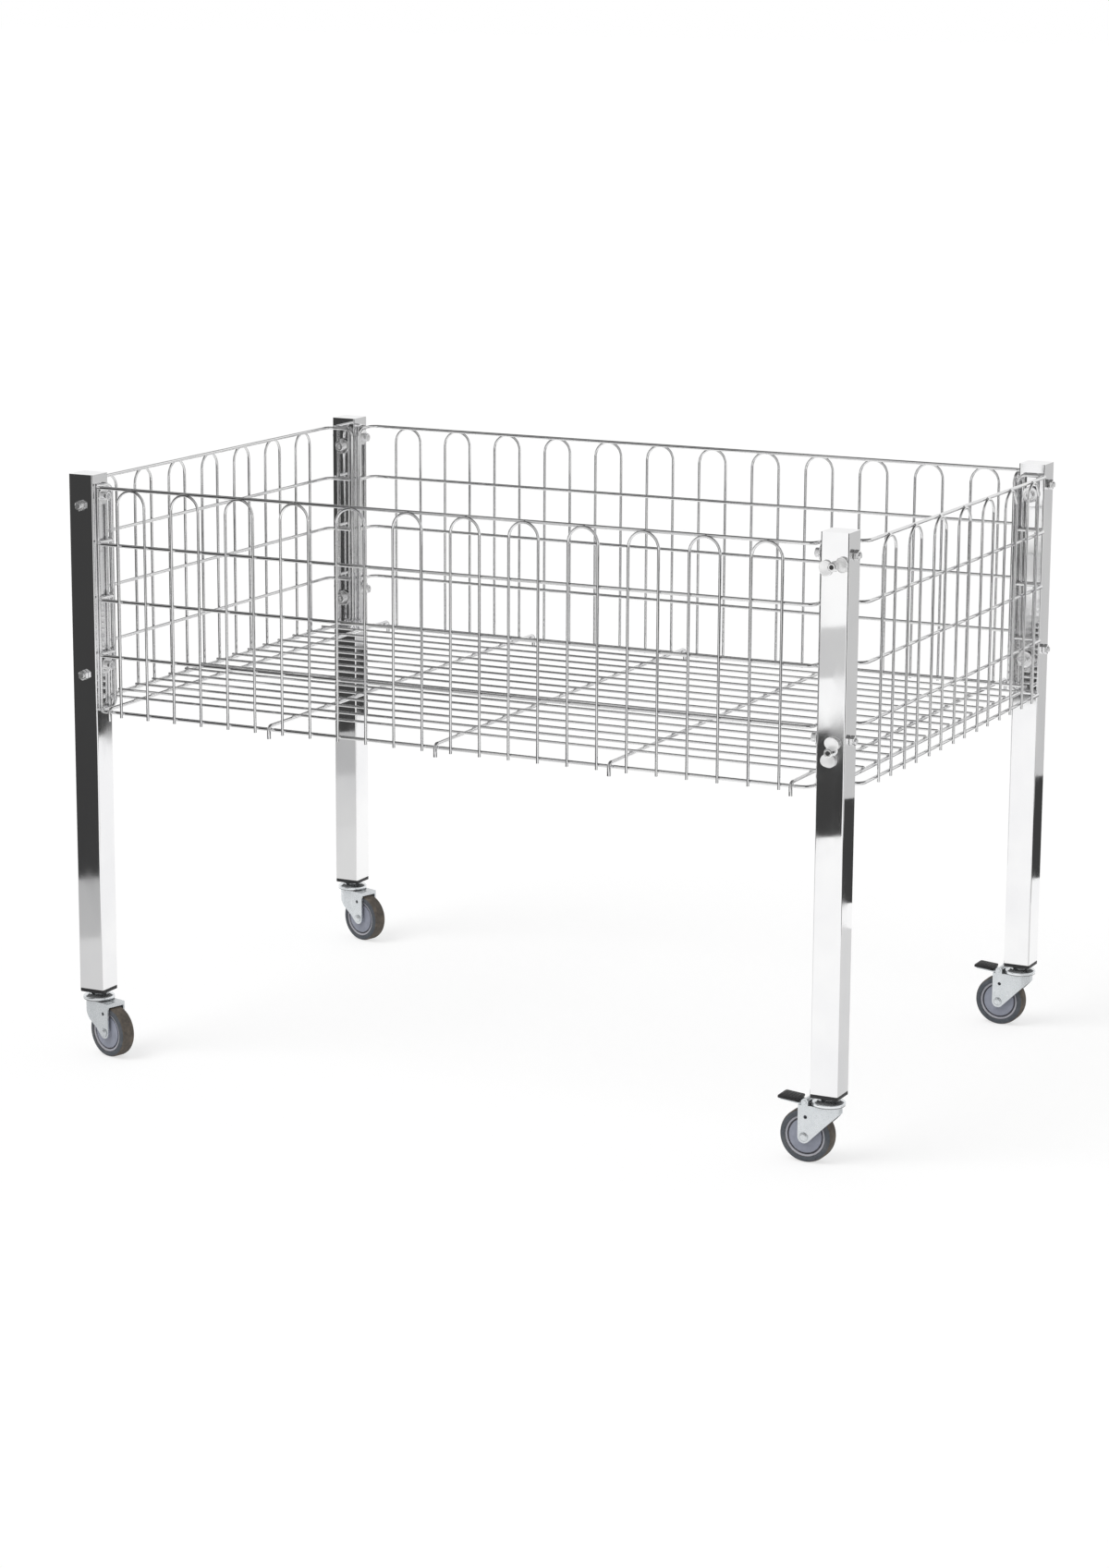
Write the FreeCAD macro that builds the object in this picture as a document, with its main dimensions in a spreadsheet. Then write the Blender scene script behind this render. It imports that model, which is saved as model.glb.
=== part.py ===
import FreeCAD, Part
import math
import os

import Sketcher
from FreeCAD import Placement, Rotation, Vector

# Retail dump bin: a welded wire basket on four square chromed legs with swivel casters.
# X runs along the bin, Y from front to back, Z up. The origin is on the floor under the middle.

os.makedirs("parts", exist_ok=True)
doc = FreeCAD.newDocument("DumpBin")
sheet = doc.addObject("Spreadsheet::Sheet", "Sizes")

DRIVING_SIZES = (
    # overall
    ("bin_length", 1200.0),
    ("bin_width", 800.0),
    # legs: square tube, closed at the top by a welded plate
    ("leg_height", 760.0),
    ("leg_section", 40.0),
    ("leg_wall", 1.5),
    ("leg_corner", 2.0),
    # clearances
    ("seat_gap", 0.1),
    ("weld_gap", 0.02),
    ("rest_gap", 0.3),
    ("running_gap", 0.06),
    # panel bolts: two levels, the pair along Y set lower than the pair along X
    ("bolt_diameter", 8.0),
    ("bolt_hole_gap", 0.4),
    ("bolt_drop", 31.0),
    ("bolt_level_pitch", 246.0),
    ("bolt_stagger", 13.5),
    ("bolt_end", 2.5),
    ("bolt_head_diameter", 13.0),
    ("bolt_head_height", 8.0),
    ("washer_diameter", 24.0),
    ("washer_thickness", 2.0),
    ("nut_flats", 13.0),
    ("nut_height", 6.5),
    ("wing_hub_diameter", 15.0),
    ("wing_hub_height", 9.0),
    ("wing_span", 44.0),
    ("wing_rise", 17.0),
    ("wing_thickness", 4.0),
    # basket panels: bent rails, with arched hoops welded on their outer side,
    # which stands out beyond the outer faces of the legs
    ("panel_outset", 12.5),
    ("rail_diameter", 5.0),
    ("rail_drop", 16.0),
    ("rail_pitch", 81.0),
    ("rail_bend", 14.0),
    ("tab_reach", 38.6),
    ("tab_corner", 12.0),
    ("tab_rod_spacing", 20.0),
    ("tab_rod_overrun", 3.0),
    ("hoop_diameter", 4.0),
    ("hoop_width", 44.5),
    ("hoop_pitch_long", 89.0),
    ("hoop_pitch_short", 94.0),
    ("hoop_crown_drop", 1.0),
    ("hoop_tail", 6.0),
    # base rack: long wires on hooked cross bars
    ("bar_diameter", 5.5),
    ("bar_pitch", 265.0),
    ("hook_outset", 1.0),
    ("hook_bend", 6.5),
    ("hook_drop", 18.0),
    ("rack_wire_diameter", 4.0),
    ("rack_wire_pitch", 46.0),
    ("rack_margin", 12.0),
    # plug in the foot of each leg
    ("plug_flange", 5.5),
    ("plug_depth", 22.0),
    ("plug_side_gap", 0.3),
    ("plug_boss_diameter", 28.0),
    ("plug_boss_height", 3.0),
    # caster
    ("wheel_diameter", 75.0),
    ("wheel_width", 24.0),
    ("tyre_depth", 8.5),
    ("hub_width", 26.0),
    ("hub_boss_radius", 9.0),
    ("hub_face_step", 2.5),
    ("axle_diameter", 8.0),
    ("axle_head_diameter", 12.6),
    ("axle_head_height", 3.5),
    ("caster_trail", 29.0),
    ("sheet_thickness", 2.5),
    ("crown_gap", 4.0),
    ("fork_inside", 27.6),
    ("fork_front_radius", 19.0),
    ("fork_eye_radius", 9.0),
    ("fork_skirt", 8.5),
    ("fork_lip", 3.0),
    ("side_hole_diameter", 5.5),
    ("side_hole_rise", 28.0),
    ("side_hole_offset", 2.0),
    ("tongue_hole_diameter", 4.5),
    ("tongue_hole_inset", 7.0),
    ("race_radius", 17.0),
    ("race_height", 2.0),
    ("cup_diameter", 46.0),
    ("cup_sheet", 2.0),
    ("cup_crown", 6.2),
    ("cup_recess_radius", 12.0),
    ("cup_rim_drop", 1.6),
    ("stem_diameter", 10.0),
    ("stem_flats", 17.0),
    ("stem_rivet_diameter", 16.0),
    ("stem_rivet_height", 2.5),
    ("stem_hex_height", 5.7),
    ("stem_thread_length", 24.0),
    # brake of the two right-hand casters
    ("pin_diameter", 5.0),
    ("pin_behind_axle", 0.5),
    ("pin_rise", 4.5),
    ("barrel_wall", 1.7),
    ("lever_sheet", 1.6),
    ("lever_width", 26.0),
    ("lever_reach", 66.0),
    ("lever_rise", 2.8),
    ("shoe_reach", 37.0),
    ("shoe_gap", 1.3),
    ("ear_radius", 5.0),
    ("pedal_length", 29.0),
    ("pedal_width", 32.0),
    ("pedal_thickness", 4.0),
    # rest positions of the casters about their swivel axes, in degrees
    ("left_caster_turn", -17.0),
    ("right_caster_turn", 180.0),
)
RAIL_COUNT = 5
LONG_HOOP_COUNT = 12
SHORT_HOOP_COUNT = 7
BAR_COUNT = 5
RACK_WIRE_COUNT = 16
ROD_SIDES = 6
BOLT_SIDES = 8
DISC_SIDES = 16
BEND_TURN = 45.0

for row, (name, value) in enumerate(DRIVING_SIZES, start=1):
    sheet.set("A%d" % row, name)
    sheet.set("B%d" % row, str(value))
    sheet.setAlias("B%d" % row, name)
doc.recompute()

LEGS = (("front_left", -1, -1), ("front_right", 1, -1), ("back_left", -1, 1), ("back_right", 1, 1))
nodes = {}


def size(name):
    """The value of one named size, in millimetres or degrees."""
    return float(sheet.get(name))


# ---------------------------------------------------------------- sketches and bodies


def new_body(label):
    body = doc.addObject("PartDesign::Body", label)
    body.Label = label
    return body


def origin_plane(body, role):
    return next(f for f in body.Origin.OriginFeatures if f.Role == role)


def sketch_on(body, role, offset=None):
    """A sketch on one of the body's own planes; offset is an expression along its normal."""
    sketch = body.newObject("Sketcher::SketchObject", "Sketch")
    sketch.AttachmentSupport = [(origin_plane(body, role), "")]
    sketch.MapMode = "FlatFace"
    if offset:
        sketch.setExpression("AttachmentOffset.Base.z", offset)
    return sketch


def expression(text):
    """Bare size names become references to the sheet."""
    words = []
    for word in text.split():
        plain = word.strip("()")
        words.append(word.replace(plain, "Sizes." + plain) if plain in SIZE_NAMES else word)
    return " ".join(words)


SIZE_NAMES = {name for name, _ in DRIVING_SIZES}


def bind(target, prop, text):
    target.setExpression(prop, expression(text))


def value_of(thing, text):
    return float(thing.evalExpression(expression(text)))


def constrain(sketch, kind, *where, text):
    index = sketch.addConstraint(Sketcher.Constraint(kind, *where, value_of(sketch, text)))
    bind(sketch, "Constraints[%d]" % index, text)


def outline(sketch, corners):
    """A closed run of lines through (x, y) corners given as expressions, each one constrained."""
    points = [Vector(value_of(sketch, x), value_of(sketch, y), 0) for x, y in corners]
    first = sketch.GeometryCount
    count = len(corners)
    for i in range(count):
        sketch.addGeometry(Part.LineSegment(points[i], points[(i + 1) % count]))
    for i in range(count):
        sketch.addConstraint(
            Sketcher.Constraint("Coincident", first + i, 2, first + (i + 1) % count, 1)
        )
        constrain(sketch, "DistanceX", -1, 1, first + i, 1, text=corners[i][0])
        constrain(sketch, "DistanceY", -1, 1, first + i, 1, text=corners[i][1])


def rectangle(sketch, x_low, x_high, y_low, y_high):
    outline(sketch, ((x_low, y_low), (x_high, y_low), (x_high, y_high), (x_low, y_high)))


def circle(sketch, x, y, radius):
    centre = Vector(value_of(sketch, x), value_of(sketch, y), 0)
    index = sketch.GeometryCount
    sketch.addGeometry(Part.Circle(centre, Vector(0, 0, 1), value_of(sketch, radius)))
    constrain(sketch, "DistanceX", -1, 1, index, 3, text=x)
    constrain(sketch, "DistanceY", -1, 1, index, 3, text=y)
    constrain(sketch, "Radius", index, text=radius)


def hexagon(sketch, flats):
    half, low, high = flats + " / 2", flats + " / sqrt(12)", flats + " / sqrt(3)"
    corners = (("0", high), ("-" + half, low), ("-" + half, "-" + low))
    corners += (("0", "-" + high), (half, "-" + low), (half, low))
    outline(sketch, [(fix_sign(x), fix_sign(y)) for x, y in corners])


def fix_sign(text):
    """'-name / 2' is written '0 - name / 2', so that the name stays a word of its own."""
    return "0 - " + text[1:] if text.startswith("-") else text


def polygon(sketch, x, y, radius, sides):
    """A small round shape that repeats, as a regular polygon of that radius about (x, y)."""
    corners = []
    for i in range(sides):
        angle = 360.0 * (i + 0.5) / sides
        corners.append(
            ("%s + (%s) * cos(%g)" % (x, radius, angle), "%s + (%s) * sin(%g)" % (y, radius, angle))
        )
    outline(sketch, corners)


def pad(body, sketch, length, symmetric=False, reverse=False):
    feature = body.newObject("PartDesign::Pad", "Pad")
    feature.Profile = sketch
    bind(feature, "Length", length)
    if symmetric:
        feature.SideType = "Symmetric"
    feature.Reversed = reverse
    return feature


def pocket(body, sketch, length, symmetric=False, reverse=False):
    feature = body.newObject("PartDesign::Pocket", "Pocket")
    feature.Profile = sketch
    bind(feature, "Length", length)
    if symmetric:
        feature.SideType = "Symmetric"
    feature.Reversed = reverse
    return feature


def revolve(body, corners, plane="XZ_Plane"):
    """A full turn of an (r, height) outline about the sketch's vertical axis."""
    sketch = sketch_on(body, plane)
    outline(sketch, corners)
    feature = body.newObject("PartDesign::Revolution", "Revolution")
    feature.Profile = sketch
    feature.ReferenceAxis = (sketch, ["V_Axis"])
    feature.Angle = 360.0
    return feature


def fillet(body, base, radius, wanted):
    """Rounds the edges of the base feature that the test picks."""
    doc.recompute()
    names = ["Edge%d" % (i + 1) for i, edge in enumerate(base.Shape.Edges) if wanted(edge)]
    feature = body.newObject("PartDesign::Fillet", "Fillet")
    feature.Base = (base, names)
    bind(feature, "Radius", radius)
    return feature


def is_upright(edge):
    if not isinstance(edge.Curve, Part.Line):
        return False
    return abs(edge.tangentAt(edge.FirstParameter).z) > 0.99


def at_leg(x_sign, y_sign, turn=0.0, offset=Vector(0, 0, 0)):
    """The place of a piece on one leg's axis, turned about it, with an offset in the turned frame."""
    x = x_sign * (size("bin_length") - size("leg_section")) / 2
    y = y_sign * (size("bin_width") - size("leg_section")) / 2
    return Placement(Vector(x, y, 0), Rotation(Vector(0, 0, 1), turn)) * Placement(offset, Rotation())


def node(label, thing, placement=None):
    thing.Label = label
    if placement is not None:
        thing.Placement = placement
    nodes[label] = thing


def placed(body, placement):
    return body.Shape.transformed(placement.toMatrix())


def node_of_shapes(label, shapes):
    """One node that holds several like solids, such as a set of bolts."""
    feature = doc.addObject("Part::Feature", label)
    feature.Shape = Part.makeCompound(shapes)
    node(label, feature, Placement())


# ---------------------------------------------------------------- levels from the floor up

ROOF = "wheel_diameter + crown_gap"
FORK_TOP = ROOF + " + sheet_thickness"
RACE_TOP = FORK_TOP + " + race_height"
CUP_FLOOR = RACE_TOP + " + rest_gap"
HEX_LOW = CUP_FLOOR + " + cup_sheet"
BOSS_BOTTOM = HEX_LOW + " + stem_hex_height"
LEG_FOOT = BOSS_BOTTOM + " + plug_boss_height + plug_flange"
FORK_HALF = "fork_inside / 2 + sheet_thickness"


def leg_top():
    return value_of(sheet, LEG_FOOT + " + leg_height")


# ---------------------------------------------------------------- legs and plugs


def leg_heights():
    top = leg_top()
    x_upper = top - size("bolt_drop")
    x_levels = (x_upper, x_upper - size("bolt_level_pitch"))
    y_levels = tuple(level - size("bolt_stagger") for level in x_levels)
    return top, x_levels, y_levels


def make_leg(label):
    """Square tube with the top closed and four through holes for the panel bolts."""
    body = new_body(label)
    half = "leg_section / 2"
    sketch = sketch_on(body, "XY_Plane", expression(LEG_FOOT))
    rectangle(sketch, "0 - " + half, half, "0 - " + half, half)
    tube = pad(body, sketch, "leg_height")
    fillet(body, tube, "leg_corner", is_upright)
    inner = "leg_section / 2 - leg_wall"
    outer = "leg_wall - leg_section / 2"
    sketch = sketch_on(body, "XY_Plane", expression(LEG_FOOT))
    rectangle(sketch, outer, inner, outer, inner)
    pocket(body, sketch, "leg_height - leg_wall", reverse=True)
    radius = "bolt_diameter / 2 + bolt_hole_gap"
    upper = LEG_FOOT + " + leg_height - bolt_drop"
    for plane, drop in (("YZ_Plane", "0"), ("XZ_Plane", "bolt_stagger")):
        sketch = sketch_on(body, plane)
        polygon(sketch, "0", upper + " - " + drop, radius, BOLT_SIDES)
        polygon(sketch, "0", upper + " - bolt_level_pitch - " + drop, radius, BOLT_SIDES)
        pocket(body, sketch, "leg_section * 2", symmetric=True)
    return body


def make_plug(label):
    """Threaded plastic insert: flange over the tube end, body inside it, round boss below."""
    body = new_body(label)
    half, flat = "leg_section / 2", "leg_section / 2 - leg_corner"
    far, near = negated(half), negated(flat)
    sketch = sketch_on(body, "XY_Plane", expression(LEG_FOOT))
    corners = ((half, near), (half, flat), (flat, half), (near, half))
    outline(sketch, corners + ((far, flat), (far, near), (near, far), (flat, far)))
    pad(body, sketch, "plug_flange", reverse=True)
    inner = "leg_section / 2 - leg_wall - plug_side_gap"
    outer = "leg_wall + plug_side_gap - leg_section / 2"
    sketch = sketch_on(body, "XY_Plane", expression(LEG_FOOT))
    rectangle(sketch, outer, inner, outer, inner)
    pad(body, sketch, "plug_depth")
    sketch = sketch_on(body, "XY_Plane", expression(LEG_FOOT + " - plug_flange"))
    polygon(sketch, "0", "0", "plug_boss_diameter / 2", DISC_SIDES)
    pad(body, sketch, "plug_boss_height", reverse=True)
    sketch = sketch_on(body, "XY_Plane", expression(LEG_FOOT))
    polygon(sketch, "0", "0", "stem_diameter / 2 + rest_gap", DISC_SIDES)
    pocket(body, sketch, "plug_depth * 4", symmetric=True)
    return body


# ---------------------------------------------------------------- panel fasteners


def make_bolt():
    """Cap screw along +Z with the underside of its head at the origin."""
    body = new_body("bolt_pattern_piece")
    grip = "washer_thickness + seat_gap * 3 + hoop_diameter + leg_section + nut_height + bolt_end"
    sketch = sketch_on(body, "XY_Plane")
    polygon(sketch, "0", "0", "bolt_head_diameter / 2", BOLT_SIDES)
    pad(body, sketch, "bolt_head_height", reverse=True)
    sketch = sketch_on(body, "XY_Plane")
    polygon(sketch, "0", "0", "bolt_diameter / 2", BOLT_SIDES)
    pad(body, sketch, grip)
    return body


def make_washer():
    body = new_body("washer_pattern_piece")
    sketch = sketch_on(body, "XY_Plane")
    polygon(sketch, "0", "0", "washer_diameter / 2", BOLT_SIDES)
    polygon(sketch, "0", "0", "bolt_diameter / 2 + bolt_hole_gap", BOLT_SIDES)
    pad(body, sketch, "washer_thickness")
    return body


def make_nut():
    body = new_body("nut_pattern_piece")
    sketch = sketch_on(body, "XY_Plane")
    hexagon(sketch, "nut_flats")
    polygon(sketch, "0", "0", "bolt_diameter / 2 + running_gap", BOLT_SIDES)
    pad(body, sketch, "nut_height")
    return body


def make_wing_nut():
    """Round hub along +Z with two ears that rise and spread to the sides."""
    body = new_body("wing_nut_pattern_piece")
    sketch = sketch_on(body, "XY_Plane")
    polygon(sketch, "0", "0", "wing_hub_diameter / 2", BOLT_SIDES)
    pad(body, sketch, "wing_hub_height")
    reach = "wing_span / 2"
    ear = (
        ("wing_hub_diameter / 2 - 2", "1"),
        (reach + " - 4", "wing_rise - 11"),
        (reach, "wing_rise - 7"),
        (reach, "wing_rise - 3"),
        (reach + " - 3", "wing_rise"),
        (reach + " - 7", "wing_rise - 1"),
        ("wing_hub_diameter / 2 - 2", "wing_hub_height - 1"),
    )
    for side in ("", "0 - "):
        sketch = sketch_on(body, "XZ_Plane")
        outline(sketch, [(negated(x) if side else x, y) for x, y in ear])
        pad(body, sketch, "wing_thickness", symmetric=True)
    sketch = sketch_on(body, "XY_Plane")
    polygon(sketch, "0", "0", "bolt_diameter / 2 + running_gap", BOLT_SIDES)
    pocket(body, sketch, "wing_hub_height", reverse=True)
    return body


def negated(text):
    return "0 - (" + text + ")"


def fastener_places(x_sign, y_sign):
    """For one leg: each bolt's inward axis sign, direction and level."""
    _, x_levels, y_levels = leg_heights()
    outward_x, outward_y = Vector(x_sign, 0, 0), Vector(0, y_sign, 0)
    return [(outward_x, z) for z in x_levels] + [(outward_y, z) for z in y_levels]


def along(direction, distance, height, x_sign, y_sign, spin=0.0):
    """A place on a bolt's axis, that far from the leg's axis, with +Z turned outwards."""
    turned = Rotation(Vector(0, 0, 1), direction) * Rotation(Vector(0, 0, 1), spin)
    centre = at_leg(x_sign, y_sign).Base + direction * distance + Vector(0, 0, height)
    return Placement(centre, turned)


def make_fasteners():
    bolt, washer, nut, wing = make_bolt(), make_washer(), make_nut(), make_wing_nut()
    doc.recompute()
    half = size("leg_section") / 2
    stack = size("seat_gap") + size("hoop_diameter") + size("seat_gap")
    washer_at = -(half + stack + size("washer_thickness"))
    bolt_at = washer_at - size("seat_gap")
    nut_at = half + size("seat_gap")
    wing_turns = iter((0.0, 90.0))
    bolts, washers, nuts, wings = [], [], [], []
    for leg_name, x_sign, y_sign in LEGS:
        for direction, level in fastener_places(x_sign, y_sign):
            at = (level, x_sign, y_sign)
            bolts.append(placed(bolt, along(direction, bolt_at, *at)))
            washers.append(placed(washer, along(direction, washer_at, *at)))
            if leg_name == "front_right" and direction.y:
                wings.append(placed(wing, along(direction, nut_at, *at, spin=90 + next(wing_turns))))
            else:
                nuts.append(placed(nut, along(direction, nut_at, *at)))
    node_of_shapes("panel_bolts", bolts)
    node_of_shapes("panel_washers", washers)
    node_of_shapes("panel_nuts", nuts)
    node_of_shapes("wing_nuts", wings)


# ---------------------------------------------------------------- bent wire


def bent_path(points, bends):
    """The points of a wire: at each inner corner, short chords of a tangent arc of that radius."""
    path = [points[0]]
    for i, bend in enumerate(bends, start=1):
        back = (points[i - 1] - points[i]).normalize()
        ahead = (points[i + 1] - points[i]).normalize()
        half_angle = back.getAngle(ahead) / 2
        centre = points[i] + (back + ahead).normalize() * (bend / math.sin(half_angle))
        start = points[i] + back * (bend / math.tan(half_angle))
        turn = 180.0 - 2 * math.degrees(half_angle)
        steps = max(2, round(turn / BEND_TURN))
        axis = ahead.cross(back)
        for step in range(steps + 1):
            point = centre + Rotation(axis, turn * step / steps).multVec(start - centre)
            if not point.isEqual(path[-1], 0.001):
                path.append(point)
    return path + [points[-1]]


def rod(points, bends, diameter, flat_towards):
    """A rod along a bent path, mitred at each chord. Its section is a hexagon about the wire,
    with one flat to its weld side. A path that ends where it starts makes a closed ring."""
    path = bent_path(points, bends)
    ways = [(b - a).normalize() for a, b in zip(path, path[1:])]
    cuts = [ways[0]] + [a + b for a, b in zip(ways, ways[1:])] + [ways[-1]]
    corner = Rotation(ways[0], 180.0 / ROD_SIDES).multVec(flat_towards) * (
        diameter / 2 / math.cos(math.pi / ROD_SIDES)
    )
    ring = [
        path[0] + Rotation(ways[0], 360.0 * i / ROD_SIDES).multVec(corner)
        for i in range(ROD_SIDES)
    ]
    rings = [ring]
    for way, end, cut in zip(ways, path[1:], cuts[1:]):
        ring = [p + way * ((end - p).dot(cut) / way.dot(cut)) for p in ring]
        rings.append(ring)
    if path[0].isEqual(path[-1], 0.001):
        faces = []
        rings[-1] = rings[0]
    else:
        faces = [flat_face(rings[0]), flat_face(rings[-1])]
    for low, high in zip(rings, rings[1:]):
        for i in range(ROD_SIDES):
            after = (i + 1) % ROD_SIDES
            faces.append(flat_face([low[i], low[after], high[after], high[i]]))
    solid = Part.Solid(Part.Shell(faces))
    if solid.Volume < 0:
        solid.reverse()
    return solid


def flat_face(corners):
    return Part.Face(Part.makePolygon(corners + corners[:1]))


def moved(shape, x=0.0, y=0.0, z=0.0, turn=0.0):
    place = Placement(Vector(x, y, z), Rotation(Vector(0, 0, 1), turn))
    return shape.transformed(place.toMatrix())


# ---------------------------------------------------------------- basket panels


def rail_levels():
    top = leg_top() - size("rail_drop")
    return [top - i * size("rail_pitch") for i in range(RAIL_COUNT)]


def rail_inset():
    """From the outer faces of the hoops, or of the tab rods, to the middle of the rails."""
    return size("hoop_diameter") + size("weld_gap") + size("rail_diameter") / 2


def panel_rails(span):
    """The frame ring, bent into the tabs at both ends, and the plain rails between its long runs."""
    levels = rail_levels()
    end = span / 2 - size("leg_section") - size("seat_gap") - rail_inset()
    inset = rail_inset() - size("panel_outset")
    reach = size("tab_reach")
    top, bottom = levels[0], levels[-1]
    seam = Vector(-end, reach, (top + bottom) / 2)
    points = [seam, Vector(-end, reach, top), Vector(-end, inset, top), Vector(end, inset, top)]
    points += [Vector(end, reach, top), Vector(end, reach, bottom), Vector(end, inset, bottom)]
    points += [Vector(-end, inset, bottom), Vector(-end, reach, bottom), seam]
    half_ring = [size("tab_corner"), size("rail_bend"), size("rail_bend"), size("tab_corner")]
    rods = [rod(points, half_ring * 2, size("rail_diameter"), Vector(-1, 0, 0))]
    stop = reach - size("rail_diameter") / math.sqrt(3) - size("weld_gap")
    for level in levels[1:-1]:
        points = [Vector(-end, stop, level), Vector(-end, inset, level)]
        points += [Vector(end, inset, level), Vector(end, stop, level)]
        rods.append(rod(points, half_ring[1:3], size("rail_diameter"), Vector(-1, 0, 0)))
    return rods


def panel_hoops(span, count, pitch):
    """Arched hoops on the outer side, and the paired rods that each tab is clamped by."""
    levels = rail_levels()
    radius = size("hoop_diameter") / 2
    depth = radius - size("panel_outset")
    half = size("hoop_width") / 2
    crown = levels[0] - size("hoop_crown_drop")
    foot = levels[-1] - size("hoop_tail")
    points = [Vector(-half, depth, foot), Vector(-half, depth, crown)]
    points += [Vector(half, depth, crown), Vector(half, depth, foot)]
    hoop = rod(points, [half, half], size("hoop_diameter"), Vector(0, 1, 0))
    shapes = [moved(hoop, x=(i - (count - 1) / 2) * pitch) for i in range(count)]
    beside_leg = span / 2 - size("leg_section") - size("seat_gap") - radius
    overrun = size("tab_rod_overrun")
    for x in (-beside_leg, beside_leg):
        for offset in (-0.5, 0.5):
            y = size("leg_section") / 2 + offset * size("tab_rod_spacing")
            ends = [Vector(x, y, levels[-1] - overrun), Vector(x, y, levels[0] + overrun)]
            shapes.append(rod(ends, [], size("hoop_diameter"), Vector(1, 0, 0)))
    return shapes


def make_panels():
    long_side, short_side = size("bin_length"), size("bin_width")
    long_kit = (
        panel_rails(long_side),
        panel_hoops(long_side, LONG_HOOP_COUNT, size("hoop_pitch_long")),
    )
    short_kit = (
        panel_rails(short_side),
        panel_hoops(short_side, SHORT_HOOP_COUNT, size("hoop_pitch_short")),
    )
    places = (
        ("front", long_kit, dict(y=-short_side / 2, turn=0.0)),
        ("back", long_kit, dict(y=short_side / 2, turn=180.0)),
        ("left", short_kit, dict(x=-long_side / 2, turn=-90.0)),
        ("right", short_kit, dict(x=long_side / 2, turn=90.0)),
    )
    for name, (rails, hoops), place in places:
        node_of_shapes("panel_%s_rails" % name, [moved(s, **place) for s in rails])
        node_of_shapes("panel_%s_hoops" % name, [moved(s, **place) for s in hoops])


# ---------------------------------------------------------------- base rack


def make_rack():
    """Hooked cross bars that rest on the lowest rails, end bars, and long wires on top."""
    half_width = size("bin_width") / 2
    half_length = size("bin_length") / 2
    bar_radius = size("bar_diameter") / 2
    rail_top = rail_levels()[-1] + size("rail_diameter") / math.sqrt(3)
    bar_level = rail_top + size("rest_gap") + bar_radius
    hook_y = half_width + size("panel_outset") + size("hook_outset")
    hook_end = bar_level - size("hook_drop")
    points = [Vector(0, -hook_y, hook_end), Vector(0, -hook_y, bar_level)]
    points += [Vector(0, hook_y, bar_level), Vector(0, hook_y, hook_end)]
    bends = [size("hook_bend"), size("hook_bend")]
    bar = rod(points, bends, size("bar_diameter"), Vector(0, 1, 0))
    pitch = size("bar_pitch")
    bars = [moved(bar, x=(i - (BAR_COUNT - 1) / 2) * pitch) for i in range(BAR_COUNT)]
    wire_radius = size("rack_wire_diameter") / 2
    wire_span = (RACK_WIRE_COUNT - 1) * size("rack_wire_pitch")
    wire_end = half_length - size("rack_margin")
    end_x = wire_end - bar_radius
    end_y = wire_span / 2 + wire_radius
    ends = [Vector(end_x, -end_y, bar_level), Vector(end_x, end_y, bar_level)]
    end_bar = rod(ends, [], size("bar_diameter"), Vector(0, 0, 1))
    bars += [end_bar, moved(end_bar, turn=180.0)]
    wire_level = bar_level + bar_radius + size("weld_gap") + wire_radius
    ends = [Vector(-wire_end, 0, wire_level), Vector(wire_end, 0, wire_level)]
    wire = rod(ends, [], size("rack_wire_diameter"), Vector(0, 0, -1))
    wires = [moved(wire, y=i * size("rack_wire_pitch") - wire_span / 2) for i in range(RACK_WIRE_COUNT)]
    node_of_shapes("rack_bars", bars)
    node_of_shapes("rack_wires", wires)


# ---------------------------------------------------------------- casters


def make_stem(label):
    """Threaded stem, hexagon and king pin in one piece, riveted over below the fork."""
    body = new_body(label)
    rivet_low = ROOF + " - rest_gap - stem_rivet_height"
    sketch = sketch_on(body, "XY_Plane", expression(rivet_low))
    circle(sketch, "0", "0", "stem_diameter / 2")
    pad(body, sketch, BOSS_BOTTOM + " + stem_thread_length - (" + rivet_low + ")")
    sketch = sketch_on(body, "XY_Plane", expression(rivet_low))
    polygon(sketch, "0", "0", "stem_rivet_diameter / 2", BOLT_SIDES)
    pad(body, sketch, "stem_rivet_height")
    sketch = sketch_on(body, "XY_Plane", expression(HEX_LOW))
    hexagon(sketch, "stem_flats")
    pad(body, sketch, "stem_hex_height")
    return body


def make_cup(label):
    """Upper bearing cup: flat recess round the stem, raised crown, rolled-down rim."""
    body = new_body(label)
    rim, crown = "cup_diameter / 2", CUP_FLOOR + " + cup_crown"
    rim_low = CUP_FLOOR + " - cup_rim_drop"
    bore = "stem_diameter / 2 + running_gap"
    revolve(
        body,
        (
            (bore, CUP_FLOOR),
            (rim + " - cup_sheet", CUP_FLOOR),
            (rim + " - cup_sheet", rim_low),
            (rim, rim_low),
            (rim, crown + " - cup_sheet"),
            ("cup_recess_radius + cup_sheet", crown),
            ("cup_recess_radius", HEX_LOW),
            (bore, HEX_LOW),
        ),
    )
    return body


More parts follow.
